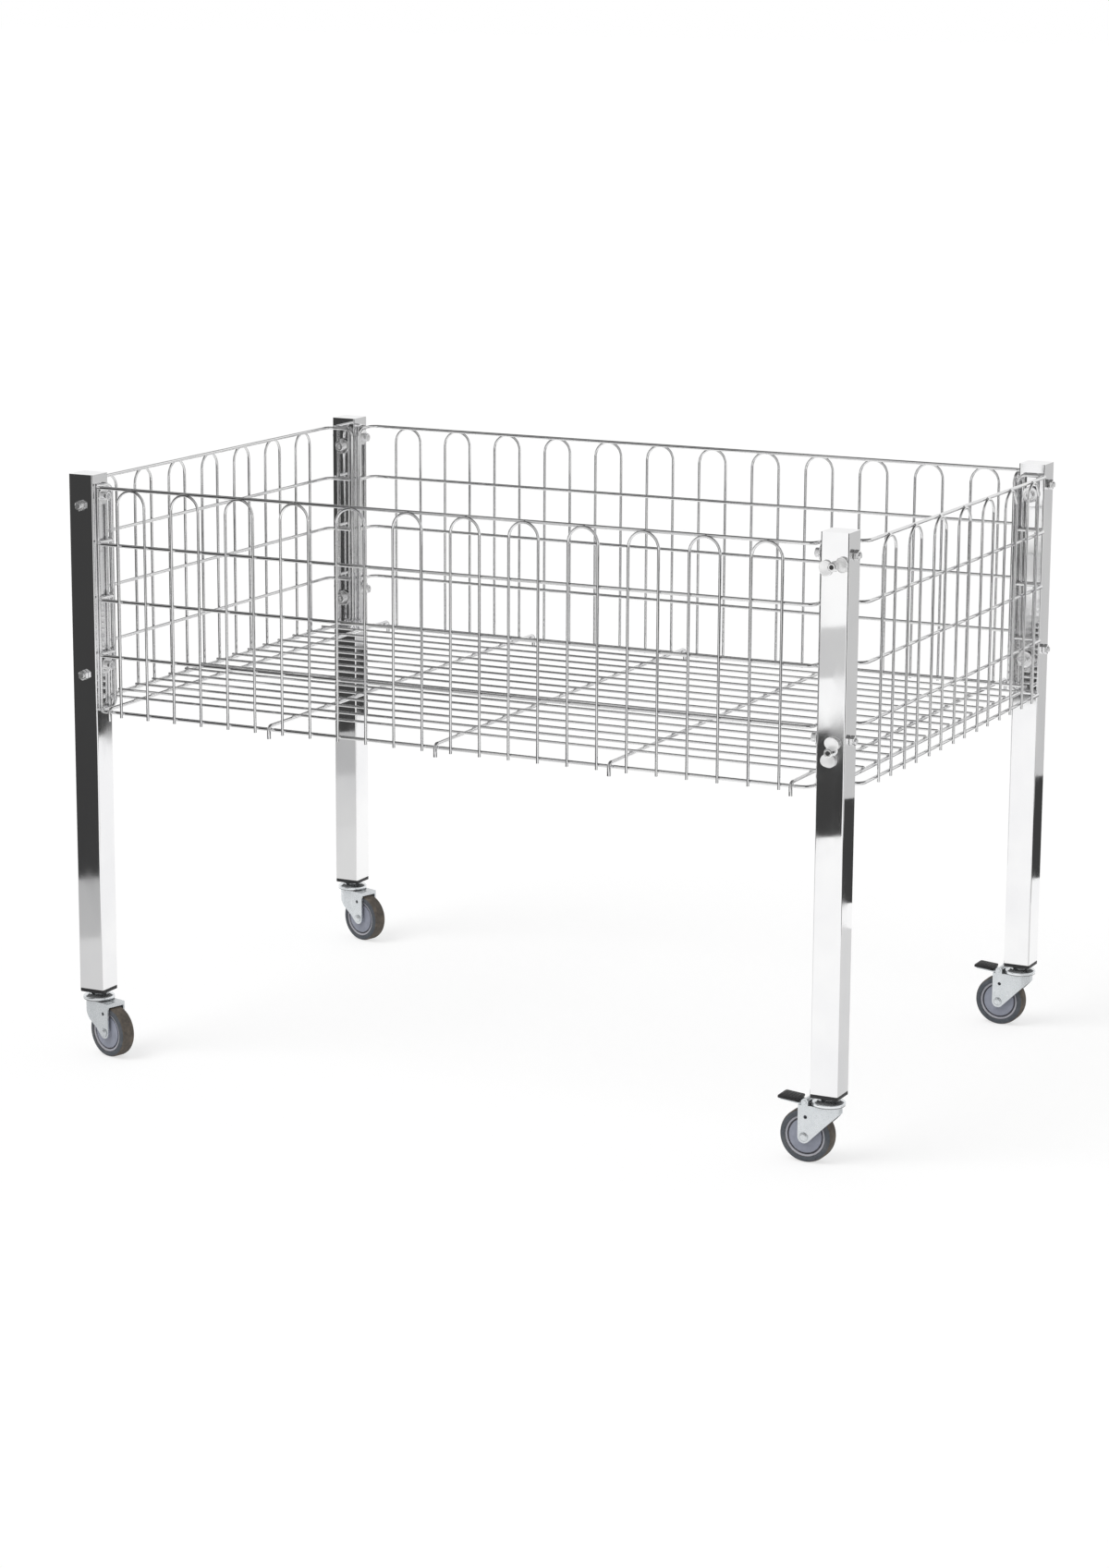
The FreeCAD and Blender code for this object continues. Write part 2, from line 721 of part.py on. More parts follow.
def fork_plan(sketch, front, half, straight_from, rear):
    """U-shaped plan of the fork: round front, sides closing in to their straight stretch."""
    corners = (
        ("0", negated(front)),
        (straight_from, negated(half)),
        (rear, negated(half)),
        (rear, half),
        (straight_from, half),
        ("0", front),
    )
    points = [Vector(value_of(sketch, x), value_of(sketch, y), 0) for x, y in corners]
    for a, b in zip(points, points[1:]):
        sketch.addGeometry(Part.LineSegment(a, b))
    nose = Part.Circle(Vector(0, 0, 0), Vector(0, 0, 1), value_of(sketch, front))
    arc = sketch.addGeometry(Part.ArcOfCircle(nose, math.pi / 2, 3 * math.pi / 2))
    for i in range(4):
        sketch.addConstraint(Sketcher.Constraint("Coincident", i, 2, i + 1, 1))
    sketch.addConstraint(Sketcher.Constraint("Coincident", 4, 2, arc, 1))
    sketch.addConstraint(Sketcher.Constraint("Coincident", arc, 2, 0, 1))
    sketch.addConstraint(Sketcher.Constraint("Coincident", arc, 3, -1, 1))
    for i in range(5):
        constrain(sketch, "DistanceX", -1, 1, i, 1, text=corners[i][0])
        constrain(sketch, "DistanceY", -1, 1, i, 1, text=corners[i][1])
    constrain(sketch, "DistanceX", -1, 1, 4, 2, text="0")


def fork_side_cut(sketch):
    """Below the fork's slanting front edge and round the axle eye: what the side profile leaves out."""
    axle = Vector(size("caster_trail"), size("wheel_diameter") / 2, 0)
    eye = size("fork_eye_radius")
    brow = Vector(-size("fork_front_radius") - 0.5, value_of(sketch, FORK_TOP + " - fork_skirt"), 0)
    reach = brow - axle
    angle = math.atan2(reach.y, reach.x) + math.acos(eye / reach.Length)
    touch = axle + Vector(eye * math.cos(angle), eye * math.sin(angle), 0)
    rear = Vector(axle.x + eye, axle.y, 0)
    outside, below = 10.0, -10.0
    loop = [rear, rear + Vector(outside, 0, 0), Vector(rear.x + outside, below, 0)]
    loop += [Vector(brow.x - outside, below, 0), Vector(brow.x - outside, brow.y, 0), brow, touch]
    for a, b in zip(loop, loop[1:]):
        sketch.addGeometry(Part.LineSegment(a, b))
    ring = Part.Circle(axle, Vector(0, 0, 1), eye)
    arc = sketch.addGeometry(Part.ArcOfCircle(ring, angle, 2 * math.pi))
    last = arc - 1
    for i in range(last):
        sketch.addConstraint(Sketcher.Constraint("Coincident", i, 2, i + 1, 1))
    sketch.addConstraint(Sketcher.Constraint("Tangent", last, 2, arc, 1))
    sketch.addConstraint(Sketcher.Constraint("Coincident", arc, 2, 0, 1))
    constrain(sketch, "DistanceX", -1, 1, arc, 3, text="caster_trail")
    constrain(sketch, "DistanceY", -1, 1, arc, 3, text="wheel_diameter / 2")
    constrain(sketch, "Radius", arc, text="fork_eye_radius")
    constrain(sketch, "DistanceY", -1, 1, 0, 1, text="wheel_diameter / 2")
    constrain(sketch, "DistanceX", -1, 1, last, 1, text="0 - fork_front_radius - 0.5")
    constrain(sketch, "DistanceY", -1, 1, last, 1, text=FORK_TOP + " - fork_skirt")
    for i in (0, 4):
        sketch.addConstraint(Sketcher.Constraint("Horizontal", i))
    sketch.addConstraint(Sketcher.Constraint("Horizontal", 2))
    for i in (1, 3):
        sketch.addConstraint(Sketcher.Constraint("Vertical", i))
    constrain(sketch, "DistanceX", -1, 1, 1, 1, text="caster_trail + fork_eye_radius + 10")
    constrain(sketch, "DistanceX", -1, 1, 3, 1, text="0 - fork_front_radius - 10.5")
    constrain(sketch, "DistanceY", -1, 1, 2, 1, text="0 - 10")


def make_fork(label, braked):
    """Pressed fork: round-nosed hood over the wheel, side plates down to the axle, bearing race."""
    body = new_body(label)
    rear = "caster_trail + fork_eye_radius"
    straight = "fork_front_radius * 0.65"
    low = "wheel_diameter / 2 - fork_eye_radius - 1"
    sketch = sketch_on(body, "XY_Plane", expression(low))
    fork_plan(sketch, "fork_front_radius", FORK_HALF, straight, rear)
    pad(body, sketch, FORK_TOP + " - (" + low + ")")
    sketch = sketch_on(body, "XY_Plane", expression(low))
    nose = "fork_front_radius - sheet_thickness"
    fork_plan(sketch, nose, "fork_inside / 2", straight, rear + " + 5")
    pocket(body, sketch, ROOF + " - (" + low + ")", reverse=True)
    sketch = sketch_on(body, "XZ_Plane")
    fork_side_cut(sketch)
    pocket(body, sketch, "fork_inside * 2", symmetric=True)
    sketch = sketch_on(body, "XZ_Plane")
    if braked:
        inside = "caster_trail - fork_eye_radius"
        rectangle(sketch, inside, rear + " + 1", ROOF + " - 1", FORK_TOP + " + 1")
        pocket(body, sketch, "fork_inside", symmetric=True)
        add_ears(body)
    else:
        rectangle(sketch, rear + " - sheet_thickness", rear, ROOF + " - fork_lip", FORK_TOP + " - 0.5")
        pad(body, sketch, "fork_inside", symmetric=True)
        sketch = sketch_on(body, "XY_Plane", expression(ROOF))
        polygon(sketch, rear + " - tongue_hole_inset", "0", "tongue_hole_diameter / 2", BOLT_SIDES)
        pocket(body, sketch, "sheet_thickness * 3", symmetric=True)
    sketch = sketch_on(body, "XY_Plane", expression(FORK_TOP))
    polygon(sketch, "0", "0", "race_radius", DISC_SIDES)
    pad(body, sketch, "race_height")
    sketch = sketch_on(body, "XY_Plane", expression(RACE_TOP))
    circle(sketch, "0", "0", "stem_diameter / 2 + running_gap")
    pocket(body, sketch, "race_height + sheet_thickness * 2")
    sketch = sketch_on(body, "XZ_Plane")
    axle_level = "wheel_diameter / 2"
    polygon(sketch, "caster_trail", axle_level, "axle_diameter / 2 + bolt_hole_gap", DISC_SIDES)
    side_hole = ("caster_trail - side_hole_offset", axle_level + " + side_hole_rise")
    polygon(sketch, *side_hole, "side_hole_diameter / 2", BOLT_SIDES)
    pocket(body, sketch, "fork_inside * 2", symmetric=True)
    return body


PIN_X = "caster_trail - pin_behind_axle"
PIN_Z = FORK_TOP + " + pin_rise"


def add_ears(body):
    """Two lugs above the braked fork's sides that carry the lever's pin."""
    sketch = sketch_on(body, "XZ_Plane")
    foot = ROOF + " - 1"
    rectangle(sketch, PIN_X + " - ear_radius", PIN_X + " + ear_radius", foot, PIN_Z)
    pad(body, sketch, "fork_inside + sheet_thickness * 2", symmetric=True)
    sketch = sketch_on(body, "XZ_Plane")
    circle(sketch, PIN_X, PIN_Z, "ear_radius")
    pad(body, sketch, "fork_inside + sheet_thickness * 2", symmetric=True)
    sketch = sketch_on(body, "XZ_Plane")
    rectangle(sketch, PIN_X + " - ear_radius - 1", PIN_X + " + ear_radius + 1", foot, PIN_Z + " + ear_radius + 1")
    pocket(body, sketch, "fork_inside", symmetric=True)
    sketch = sketch_on(body, "XZ_Plane")
    polygon(sketch, PIN_X, PIN_Z, "pin_diameter / 2 + rest_gap", DISC_SIDES)
    pocket(body, sketch, "fork_inside * 2", symmetric=True)


def make_axle(label):
    """Axle across the fork along local Y, with a riveted head at each end."""
    body = new_body(label)
    seat = FORK_HALF + " + seat_gap"
    sketch = sketch_on(body, "XZ_Plane")
    circle(sketch, "0", "0", "axle_diameter / 2")
    pad(body, sketch, "2 * (" + seat + ")", symmetric=True)
    for offset, inwards in ((seat, False), (negated(seat), True)):
        sketch = sketch_on(body, "XZ_Plane", expression(offset))
        polygon(sketch, "0", "0", "axle_head_diameter / 2", DISC_SIDES)
        pad(body, sketch, "axle_head_height", reverse=inwards)
    return body


def make_hub(label):
    """Moulded hub: a disc that carries the tyre, and a bearing boss that stands out on both sides."""
    body = new_body(label)
    sketch = sketch_on(body, "XZ_Plane")
    polygon(sketch, "0", "0", "wheel_diameter / 2 - tyre_depth", DISC_SIDES)
    pad(body, sketch, "hub_width - hub_face_step * 2", symmetric=True)
    sketch = sketch_on(body, "XZ_Plane")
    polygon(sketch, "0", "0", "hub_boss_radius", DISC_SIDES)
    pad(body, sketch, "hub_width", symmetric=True)
    sketch = sketch_on(body, "XZ_Plane")
    circle(sketch, "0", "0", "axle_diameter / 2 + running_gap")
    pocket(body, sketch, "hub_width * 2", symmetric=True)
    return body


def make_tyre(label):
    """Rubber tyre with a flat tread, keyed on the hub's faceted rim."""
    body = new_body(label)
    sketch = sketch_on(body, "XZ_Plane")
    circle(sketch, "0", "0", "wheel_diameter / 2")
    polygon(sketch, "0", "0", "wheel_diameter / 2 - tyre_depth + weld_gap", DISC_SIDES)
    pad(body, sketch, "wheel_width", symmetric=True)
    return body


def make_pin(label):
    body = new_body(label)
    sketch = sketch_on(body, "XZ_Plane")
    circle(sketch, "0", "0", "pin_diameter / 2")
    pad(body, sketch, "fork_inside + sheet_thickness * 2 + 1", symmetric=True)
    return body


def make_lever(label):
    """Brake lever about its pin at the origin: barrel, arm under the pedal, shoe over the tyre."""
    body = new_body(label)
    barrel = "pin_diameter / 2 + barrel_wall"
    low = negated(barrel)
    tip = "lever_reach - caster_trail"
    rise = "lever_rise - (" + barrel + ")"
    sketch = sketch_on(body, "XZ_Plane")
    shoe = "shoe_reach - caster_trail"
    shoe_low = "wheel_diameter + shoe_gap - (" + PIN_Z + ")"
    outline(
        sketch,
        (
            ("0", low),
            (shoe + " - lever_sheet", low),
            (shoe + " - lever_sheet", shoe_low),
            (shoe + " + lever_sheet", shoe_low),
            (shoe + " + lever_sheet", low),
            (tip, rise),
            (tip, rise + " + lever_sheet"),
            (shoe + " + lever_sheet", low + " + lever_sheet"),
            ("0", low + " + lever_sheet"),
        ),
    )
    pad(body, sketch, "lever_width", symmetric=True)
    sketch = sketch_on(body, "XZ_Plane")
    circle(sketch, "0", "0", barrel)
    pad(body, sketch, "lever_width", symmetric=True)
    sketch = sketch_on(body, "XZ_Plane")
    circle(sketch, "0", "0", "pin_diameter / 2 + running_gap")
    pocket(body, sketch, "lever_width * 2", symmetric=True)
    return body


def make_pedal(label):
    """Moulded foot pad on the end of the lever, sloped as the arm is."""
    body = new_body(label)
    barrel = "pin_diameter / 2 + barrel_wall"
    tip = "lever_reach - caster_trail + 3"
    start = tip + " - pedal_length"
    arm_top = "lever_rise + lever_sheet + seat_gap - (" + barrel + ")"
    sketch = sketch_on(body, "XZ_Plane")
    outline(
        sketch,
        (
            (start, arm_top + " - lever_rise * 0.75"),
            (tip, arm_top + " + 0.4"),
            (tip, arm_top + " + 0.4 + pedal_thickness"),
            (start, arm_top + " - lever_rise * 0.75 + pedal_thickness"),
        ),
    )
    pad(body, sketch, "pedal_width", symmetric=True)
    return body


def make_casters():
    wheel_radius = size("wheel_diameter") / 2
    trail = size("caster_trail")
    roof = size("wheel_diameter") + size("crown_gap")
    pin_place = Vector(
        trail - size("pin_behind_axle"), 0, roof + size("sheet_thickness") + size("pin_rise")
    )
    for leg_name, x_sign, y_sign in LEGS:
        braked = x_sign > 0
        turn = size("right_caster_turn") if braked else size("left_caster_turn")
        axle_place = at_leg(x_sign, y_sign, turn, Vector(trail, 0, wheel_radius))
        swivelled = at_leg(x_sign, y_sign, turn)
        node("fork_" + leg_name, make_fork("fork_" + leg_name, braked), swivelled)
        node("axle_" + leg_name, make_axle("axle_" + leg_name), axle_place)
        node("hub_" + leg_name, make_hub("hub_" + leg_name), axle_place)
        node("tyre_" + leg_name, make_tyre("tyre_" + leg_name), axle_place)
        if braked:
            at_pin = at_leg(x_sign, y_sign, turn, pin_place)
            node("brake_pin_" + leg_name, make_pin("brake_pin_" + leg_name), at_pin)
            node("brake_lever_" + leg_name, make_lever("brake_lever_" + leg_name), at_pin)
            node("brake_pedal_" + leg_name, make_pedal("brake_pedal_" + leg_name), at_pin)


def make_mountings():
    """What stays still above each caster: plug, stem and bearing cup, the same on every leg."""
    for label, make in (("leg_plugs", make_plug), ("caster_stems", make_stem), ("bearing_cups", make_cup)):
        master = make(label + "_pattern_piece")
        doc.recompute()
        node_of_shapes(label, [placed(master, at_leg(x, y)) for _, x, y in LEGS])


# ---------------------------------------------------------------- build and write


def make_legs():
    for leg_name, x_sign, y_sign in LEGS:
        node("leg_" + leg_name, make_leg("leg_" + leg_name), at_leg(x_sign, y_sign))


make_legs()
make_mountings()
make_casters()
make_panels()
make_rack()
make_fasteners()
doc.recompute()

for thing in doc.Objects:
    if {"Invalid", "Error"} & set(thing.State):
        raise RuntimeError("%s failed: %s" % (thing.Label, thing.State))
for label, thing in nodes.items():
    shape = thing.Shape
    if shape.isNull() or not shape.isValid():
        raise RuntimeError("%s has no valid shape" % label)
for label, thing in nodes.items():
    thing.Shape.exportStep("parts/%s.step" % label)
print("%d nodes, %d solids" % (len(nodes), sum(len(n.Shape.Solids) for n in nodes.values())))
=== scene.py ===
import math

import bmesh
import bpy
from mathutils import Matrix, Quaternion, Vector


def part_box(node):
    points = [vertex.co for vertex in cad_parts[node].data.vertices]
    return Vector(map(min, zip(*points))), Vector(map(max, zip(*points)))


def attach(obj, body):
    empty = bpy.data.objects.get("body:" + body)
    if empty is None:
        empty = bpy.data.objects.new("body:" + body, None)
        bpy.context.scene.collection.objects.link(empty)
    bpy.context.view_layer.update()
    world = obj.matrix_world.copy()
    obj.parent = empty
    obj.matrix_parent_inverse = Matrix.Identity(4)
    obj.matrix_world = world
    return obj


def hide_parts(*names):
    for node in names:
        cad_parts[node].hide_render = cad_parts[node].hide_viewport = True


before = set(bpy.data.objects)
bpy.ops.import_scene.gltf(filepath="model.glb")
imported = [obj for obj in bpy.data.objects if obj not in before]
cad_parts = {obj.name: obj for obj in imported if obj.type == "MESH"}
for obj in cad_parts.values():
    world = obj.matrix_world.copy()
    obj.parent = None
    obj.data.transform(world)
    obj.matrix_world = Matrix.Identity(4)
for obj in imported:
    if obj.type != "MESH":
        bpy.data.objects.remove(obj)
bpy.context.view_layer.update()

# A wire dump bin on chromed legs. Metres, in the frame of the solids: X along the bin,
# Y from front to back, Z up, origin on the floor under the middle.

MM = 0.001
LENGTH = 1200 * MM
WIDTH = 800 * MM
LEG_TOP = 860 * MM
LEG = 40 * MM
LEG_AXIS_X, LEG_AXIS_Y = (LENGTH - LEG) / 2, (WIDTH - LEG) / 2

RAIL_R = 2.5 * MM
RAIL_LEVELS = [LEG_TOP - 16 * MM - i * 81 * MM for i in range(5)]
RAIL_INSET = 6.52 * MM
OUTSET = 12.5 * MM
RAIL_BEND = 14 * MM
TAB_REACH = 38.6 * MM
TAB_BEND = 12 * MM
TAB_ROD_SPACING = 20 * MM
RAIL_STOP = TAB_REACH - 2.6 * MM
RING_GAP = 0.02 * MM
ROD_OVERRUN = 3 * MM
HOOP_R = 2 * MM
HOOP_HALF = 22.25 * MM
HOOP_CROWN = RAIL_LEVELS[0] - 1 * MM
HOOP_FOOT = RAIL_LEVELS[-1] - 6 * MM
HOOPS_LONG, PITCH_LONG = 12, 89 * MM
HOOPS_SHORT, PITCH_SHORT = 7, 94 * MM

BAR_R, BAR_SIDES = 2.75 * MM, 14
BAR_PITCH = 265 * MM
BARS = 5
BAR_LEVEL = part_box("rack_bars")[1].z - BAR_R
HOOK_Y = WIDTH / 2 + OUTSET + 1 * MM
HOOK_BEND = 6.5 * MM
HOOK_END = BAR_LEVEL - 18 * MM
RACK_WIRE_R = 2 * MM
RACK_WIRES, RACK_PITCH = 16, 46 * MM
RACK_WIRE_END = LENGTH / 2 - 12 * MM
WELD_R, RAIL_END_WELD_R, RACK_WELD_R = 2.0 * MM, 2.9 * MM, 2.2 * MM

BOLT_R = 4 * MM
BOLT_LEVELS_X = [LEG_TOP - 31 * MM, LEG_TOP - 277 * MM]
BOLT_STAGGER = 13.5 * MM
SEAT = 0.1 * MM
WASHER_R, WASHER_T = 12 * MM, 2 * MM
HEAD_R, HEAD_H = 6.5 * MM, 8 * MM
NUT_FLATS, NUT_H = 13 * MM, 6.5 * MM

WHEEL_R = 37.5 * MM
TRAIL = 29 * MM
CHEEK = 16.3 * MM
LEFT_TURN, RIGHT_TURN = math.radians(-17.0), math.pi
LEGS = {
    "front_left": (-1, -1),
    "front_right": (1, -1),
    "back_left": (-1, 1),
    "back_right": (1, 1),
}


# ---------------------------------------------------------------- paths and shapes


BEND_STEP, CORNER_STEP = math.radians(9), math.radians(18)
NEARLY_STRAIGHT = math.radians(89.5)
SAME_SPOT = 1e-6


def rounded(points, bends, step=BEND_STEP):
    """A path through the points with a true arc of the given radius at each inner one."""
    points = [Vector(p) for p in points]
    path = [points[0]]
    for i, bend in enumerate(bends, start=1):
        back = (points[i - 1] - points[i]).normalized()
        ahead = (points[i + 1] - points[i]).normalized()
        half = back.angle(ahead) / 2
        if bend <= 0 or half > NEARLY_STRAIGHT:
            path.append(points[i])
            continue
        centre = points[i] + (back + ahead).normalized() * (bend / math.sin(half))
        spoke = points[i] + back * (bend / math.tan(half)) - centre
        turn = math.pi - 2 * half
        steps = max(2, math.ceil(turn / step))
        axis = ahead.cross(back).normalized()
        for k in range(steps + 1):
            point = centre + Quaternion(axis, turn * k / steps) @ spoke
            if (point - path[-1]).length > SAME_SPOT:
                path.append(point)
    path.append(points[-1])
    return path


def band(bm, low, high):
    """Quads between two closed rows of as many points."""
    faces = []
    for k, corner in enumerate(low):
        after = (k + 1) % len(low)
        faces.append(bm.faces.new((corner, low[after], high[after], high[k])))
    return faces


END_LIP, END_DOME = 0.82, 0.12


def sweep(bm, path, radius, sides=12):
    """A round rod along a path, its section carried without twist, its ends slightly domed."""
    ways = [(b - a).normalized() for a, b in zip(path, path[1:])]
    side = ways[0].orthogonal().normalized()
    rows = []
    for i, point in enumerate(path):
        before, after = ways[max(i - 1, 0)], ways[min(i, len(ways) - 1)]
        if i:
            side = before.rotation_difference(after) @ side
        mitre = (before + after).normalized()
        across = after.cross(side)
        row = []
        for k in range(sides):
            angle = 2 * math.pi * k / sides
            arm = (side * math.cos(angle) + across * math.sin(angle)) * radius
            arm = arm - after * (arm.dot(mitre) / after.dot(mitre))
            row.append(bm.verts.new(point + arm))
        rows.append(row)
    for low, high in zip(rows, rows[1:]):
        band(bm, low, high)
    for row, way, end in ((rows[0], -ways[0], path[0]), (rows[-1], ways[-1], path[-1])):
        lip = [bm.verts.new(end + (v.co - end) * END_LIP) for v in row]
        for v in row:
            v.co -= way * radius * END_DOME
        band(bm, row, lip)
        bm.faces.new(lip)


def weld(bm, centre, size):
    """A small bead where two wires are welded."""
    place = Matrix.Translation(centre)
    bmesh.ops.create_icosphere(bm, subdivisions=2, radius=size, matrix=place)


def in_mm(points):
    """Points given in millimetres, as metres."""
    return [tuple(v * MM for v in point) for point in points]


CORNER_REACH = 3


def soft_profile(corners, radii):
    """A closed (radius, height) outline with rounded corners."""
    points = [Vector((r, h, 0)) for r, h in corners]
    outline = []
    for i, radius in enumerate(radii):
        here = points[i]
        if radius <= 0:
            outline.append(here)
            continue
        ends = []
        for other in (points[i - 1], points[(i + 1) % len(points)]):
            run = other - here
            ends.append(here + run.normalized() * min(radius * CORNER_REACH, run.length / 2))
        outline += rounded([ends[0], here, ends[1]], [radius], CORNER_STEP)[1:-1]
    return [(p.x, p.y) for p in outline]


def lathe(bm, outline, matrix, sides):
    """A closed outline turned about the matrix's Z axis."""
    rows = []
    for radius, height in outline:
        ring = []
        for k in range(sides if radius > SAME_SPOT else 1):
            angle = 2 * math.pi * k / sides
            spot = Vector((radius * math.cos(angle), radius * math.sin(angle), height))
            ring.append(bm.verts.new(matrix @ spot))
        rows.append(ring)
    for low, high in zip(rows, rows[1:] + rows[:1]):
        if len(low) > 1 and len(high) > 1:
            band(bm, low, high)
        elif len(low) > 1 or len(high) > 1:
            for k in range(sides):
                after = (k + 1) % sides
                if len(low) == 1:
                    bm.faces.new((low[0], high[after], high[k]))
                else:
                    bm.faces.new((low[k], low[after], high[0]))


def turned(bm, corners, radii, place, sides):
    """A rounded (radius, height) outline in millimetres, turned about the place's Z axis."""
    lathe(bm, soft_profile(in_mm(corners), [r * MM for r in radii]), place, sides)


def prism(bm, outline, low, high, matrix, edge=0.0):
    """An (x, y) outline raised from low to high along the matrix's Z, with bevelled edges."""
    bottom = [bm.verts.new(matrix @ Vector((x, y, low))) for x, y in outline]
    top = [bm.verts.new(matrix @ Vector((x, y, high))) for x, y in outline]
    faces = [bm.faces.new(bottom), bm.faces.new(top)] + band(bm, bottom, top)
    bmesh.ops.recalc_face_normals(bm, faces=faces)
    if edge:
        rim = [e for f in faces[:2] for e in f.edges]
        bmesh.ops.bevel(bm, geom=rim, offset=edge, segments=2, affect="EDGES", profile=0.5)


def make(name, bm, material, body, nodes=(), sharp=35.0, *, slot):
    """Turns the mesh into a piece that rides on a body and stands for the given nodes."""
    bmesh.ops.recalc_face_normals(bm, faces=bm.faces[:])
    mesh = bpy.data.meshes.new(name)
    bm.to_mesh(mesh)
    bm.free()
    for face in mesh.polygons:
        face.use_smooth = True
    mesh.set_sharp_from_angle(angle=math.radians(sharp))
    mesh.materials.append(material)
    piece = bpy.data.objects.new(name, mesh)
    bpy.context.scene.collection.objects.link(piece)
    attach(piece, body)
    if nodes:
        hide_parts(*nodes)
    return piece


# ---------------------------------------------------------------- materials


def node_material(name):
    material = bpy.data.materials.new(name)
    material.use_nodes = True
    return material, material.node_tree


def set_stops(node, stops):
    """Gives a ramp node its (position, grey or colour) stops."""
    marks = node.color_ramp.elements
    while len(marks) < len(stops):
        marks.new(0.5)
    for mark, (position, colour) in zip(marks, stops):
        mark.position = position
        grey = isinstance(colour, (int, float))
        mark.color = (colour, colour, colour, 1) if grey else (*colour, 1)


class Shader:
    """A Principled material with object coordinates and short calls for its nodes."""

    def __init__(self, name, metallic=0.0, roughness=0.5, specular=0.5):
        self.material, self.tree = node_material(name)
        self.bsdf = self.tree.nodes["Principled BSDF"]
        self.bsdf.inputs["Metallic"].default_value = metallic
        self.bsdf.inputs["Roughness"].default_value = roughness
        self.bsdf.inputs["Specular IOR Level"].default_value = specular
        self.place = self.tree.nodes.new("ShaderNodeTexCoord").outputs["Object"]

    def link(self, out, into):
        self.tree.links.new(out, into)

    def noise(self, scale, detail, stretch=(1, 1, 1), rough=0.5):
        mapping = self.tree.nodes.new("ShaderNodeMapping")
        mapping.inputs["Scale"].default_value = stretch
        self.link(self.place, mapping.inputs["Vector"])
        node = self.tree.nodes.new("ShaderNodeTexNoise")
        node.inputs["Scale"].default_value = scale
        node.inputs["Detail"].default_value = detail
        node.inputs["Roughness"].default_value = rough
        self.link(mapping.outputs["Vector"], node.inputs["Vector"])
        return node.outputs["Fac"]

    def ramp(self, fac, stops):
        node = self.tree.nodes.new("ShaderNodeValToRGB")
        self.link(fac, node.inputs["Fac"])
        set_stops(node, stops)
        return node.outputs["Color"]

    def mix(self, fac, a, b):
        node = self.tree.nodes.new("ShaderNodeMix")
        node.data_type = "RGBA"
        self.link(fac, node.inputs["Factor"])
        self.link(a, node.inputs["A"])
        self.link(b, node.inputs["B"])
        return node.outputs["Result"]

    def bump(self, height, strength, distance, under=None):
        node = self.tree.nodes.new("ShaderNodeBump")
        if under:
            self.link(under, node.inputs["Normal"])
        node.inputs["Strength"].default_value = strength
        node.inputs["Distance"].default_value = distance
        self.link(height, node.inputs["Height"])
        self.link(node.outputs["Normal"], self.bsdf.inputs["Normal"])
        return node.outputs["Normal"]

    def vector(self, operation, a, b):
        node = self.tree.nodes.new("ShaderNodeVectorMath")
        node.operation = operation
        self.link(a, node.inputs[0])
        node.inputs[1].default_value = b
        return node.outputs["Value" if operation == "DISTANCE" else "Vector"]

    def dents(self, spots, reach):
        """0 at the nearest of the (mask, place) spots and 1 beyond their reach."""
        folded = self.vector("ABSOLUTE", self.place, (0, 0, 0))
        nearest = None
        for mask, spot in spots:
            away = self.vector("DISTANCE", self.vector("MULTIPLY", folded, mask), spot)
            if nearest:
                least = self.tree.nodes.new("ShaderNodeMath")
                least.operation = "MINIMUM"
                self.link(nearest, least.inputs[0])
                self.link(away, least.inputs[1])
                away = least.outputs[0]
            nearest = away
        slope = self.tree.nodes.new("ShaderNodeMapRange")
        slope.interpolation_type = "SMOOTHSTEP"
        slope.inputs["From Max"].default_value = reach
        self.link(nearest, slope.inputs["Value"])
        return slope.outputs["Result"]

    def rise(self, level, reach):
        """0 below a level and 1 from a short way above it."""
        split = self.tree.nodes.new("ShaderNodeSeparateXYZ")
        self.link(self.place, split.inputs[0])
        slope = self.tree.nodes.new("ShaderNodeMapRange")
        slope.inputs["From Min"].default_value = level
        slope.inputs["From Max"].default_value = level + reach
        self.link(split.outputs["Z"], slope.inputs["Value"])
        return slope.outputs["Result"]

    def colour(self, out):
        self.link(out, self.bsdf.inputs["Base Color"])

    def roughness(self, out):
        self.link(out, self.bsdf.inputs["Roughness"])


def chrome(name, low, high, smudge, wave, spots=()):
    """Polished chrome plate: a faint cloudiness, wiped smudges, slightly wavy tube walls, and
    walls drawn in round the bolts."""
    s = Shader(name, metallic=1.0)
    s.colour(s.ramp(s.noise(scale=9.0, detail=3.0), [(0.35, low), (0.65, high)]))
    wiped = s.noise(scale=22.0, detail=6.0, stretch=(1, 1, 0.35))
    s.roughness(s.ramp(wiped, [(0.42, 0.025), (0.7, smudge)]))
    waves = s.noise(scale=14.0, detail=2.0, stretch=(1, 1, 0.3))
    wavy = s.bump(waves, strength=wave, distance=1.5 * MM)
    if spots:
        s.bump(s.dents(spots, DENT_REACH), strength=1.0, distance=DENT_DEPTH, under=wavy)
    return s.material


def zinc(name, low, high, rough, metallic, seam=0.0):
    """Bright zinc plate with the cloudy bluish spangle and fine grain of pressed parts. Below
    the height of a seam it is painted dark, a painted shadow of the gap under the rim."""
    s = Shader(name, metallic=metallic)
    plate = s.ramp(s.noise(scale=90.0, detail=2.0), [(0.3, low), (0.7, high)])
    if seam:
        # Painted shade: below the seam the plate is painted near black for the shadow in the gap
        # under the rim.
        seam_shade = s.ramp(s.noise(scale=90.0, detail=2.0), [(0.3, 0.10), (0.7, 0.16)])
        plate = s.mix(s.rise(seam, SEAM_SHADE_EDGE), seam_shade, plate)
    s.colour(plate)
    dull = s.noise(scale=160.0, detail=2.0)
    s.roughness(s.ramp(dull, [(0.3, rough * 0.85), (0.75, rough * 1.2)]))
    s.bump(s.noise(scale=900.0, detail=3.0), strength=0.03, distance=0.1 * MM)
    return s.material


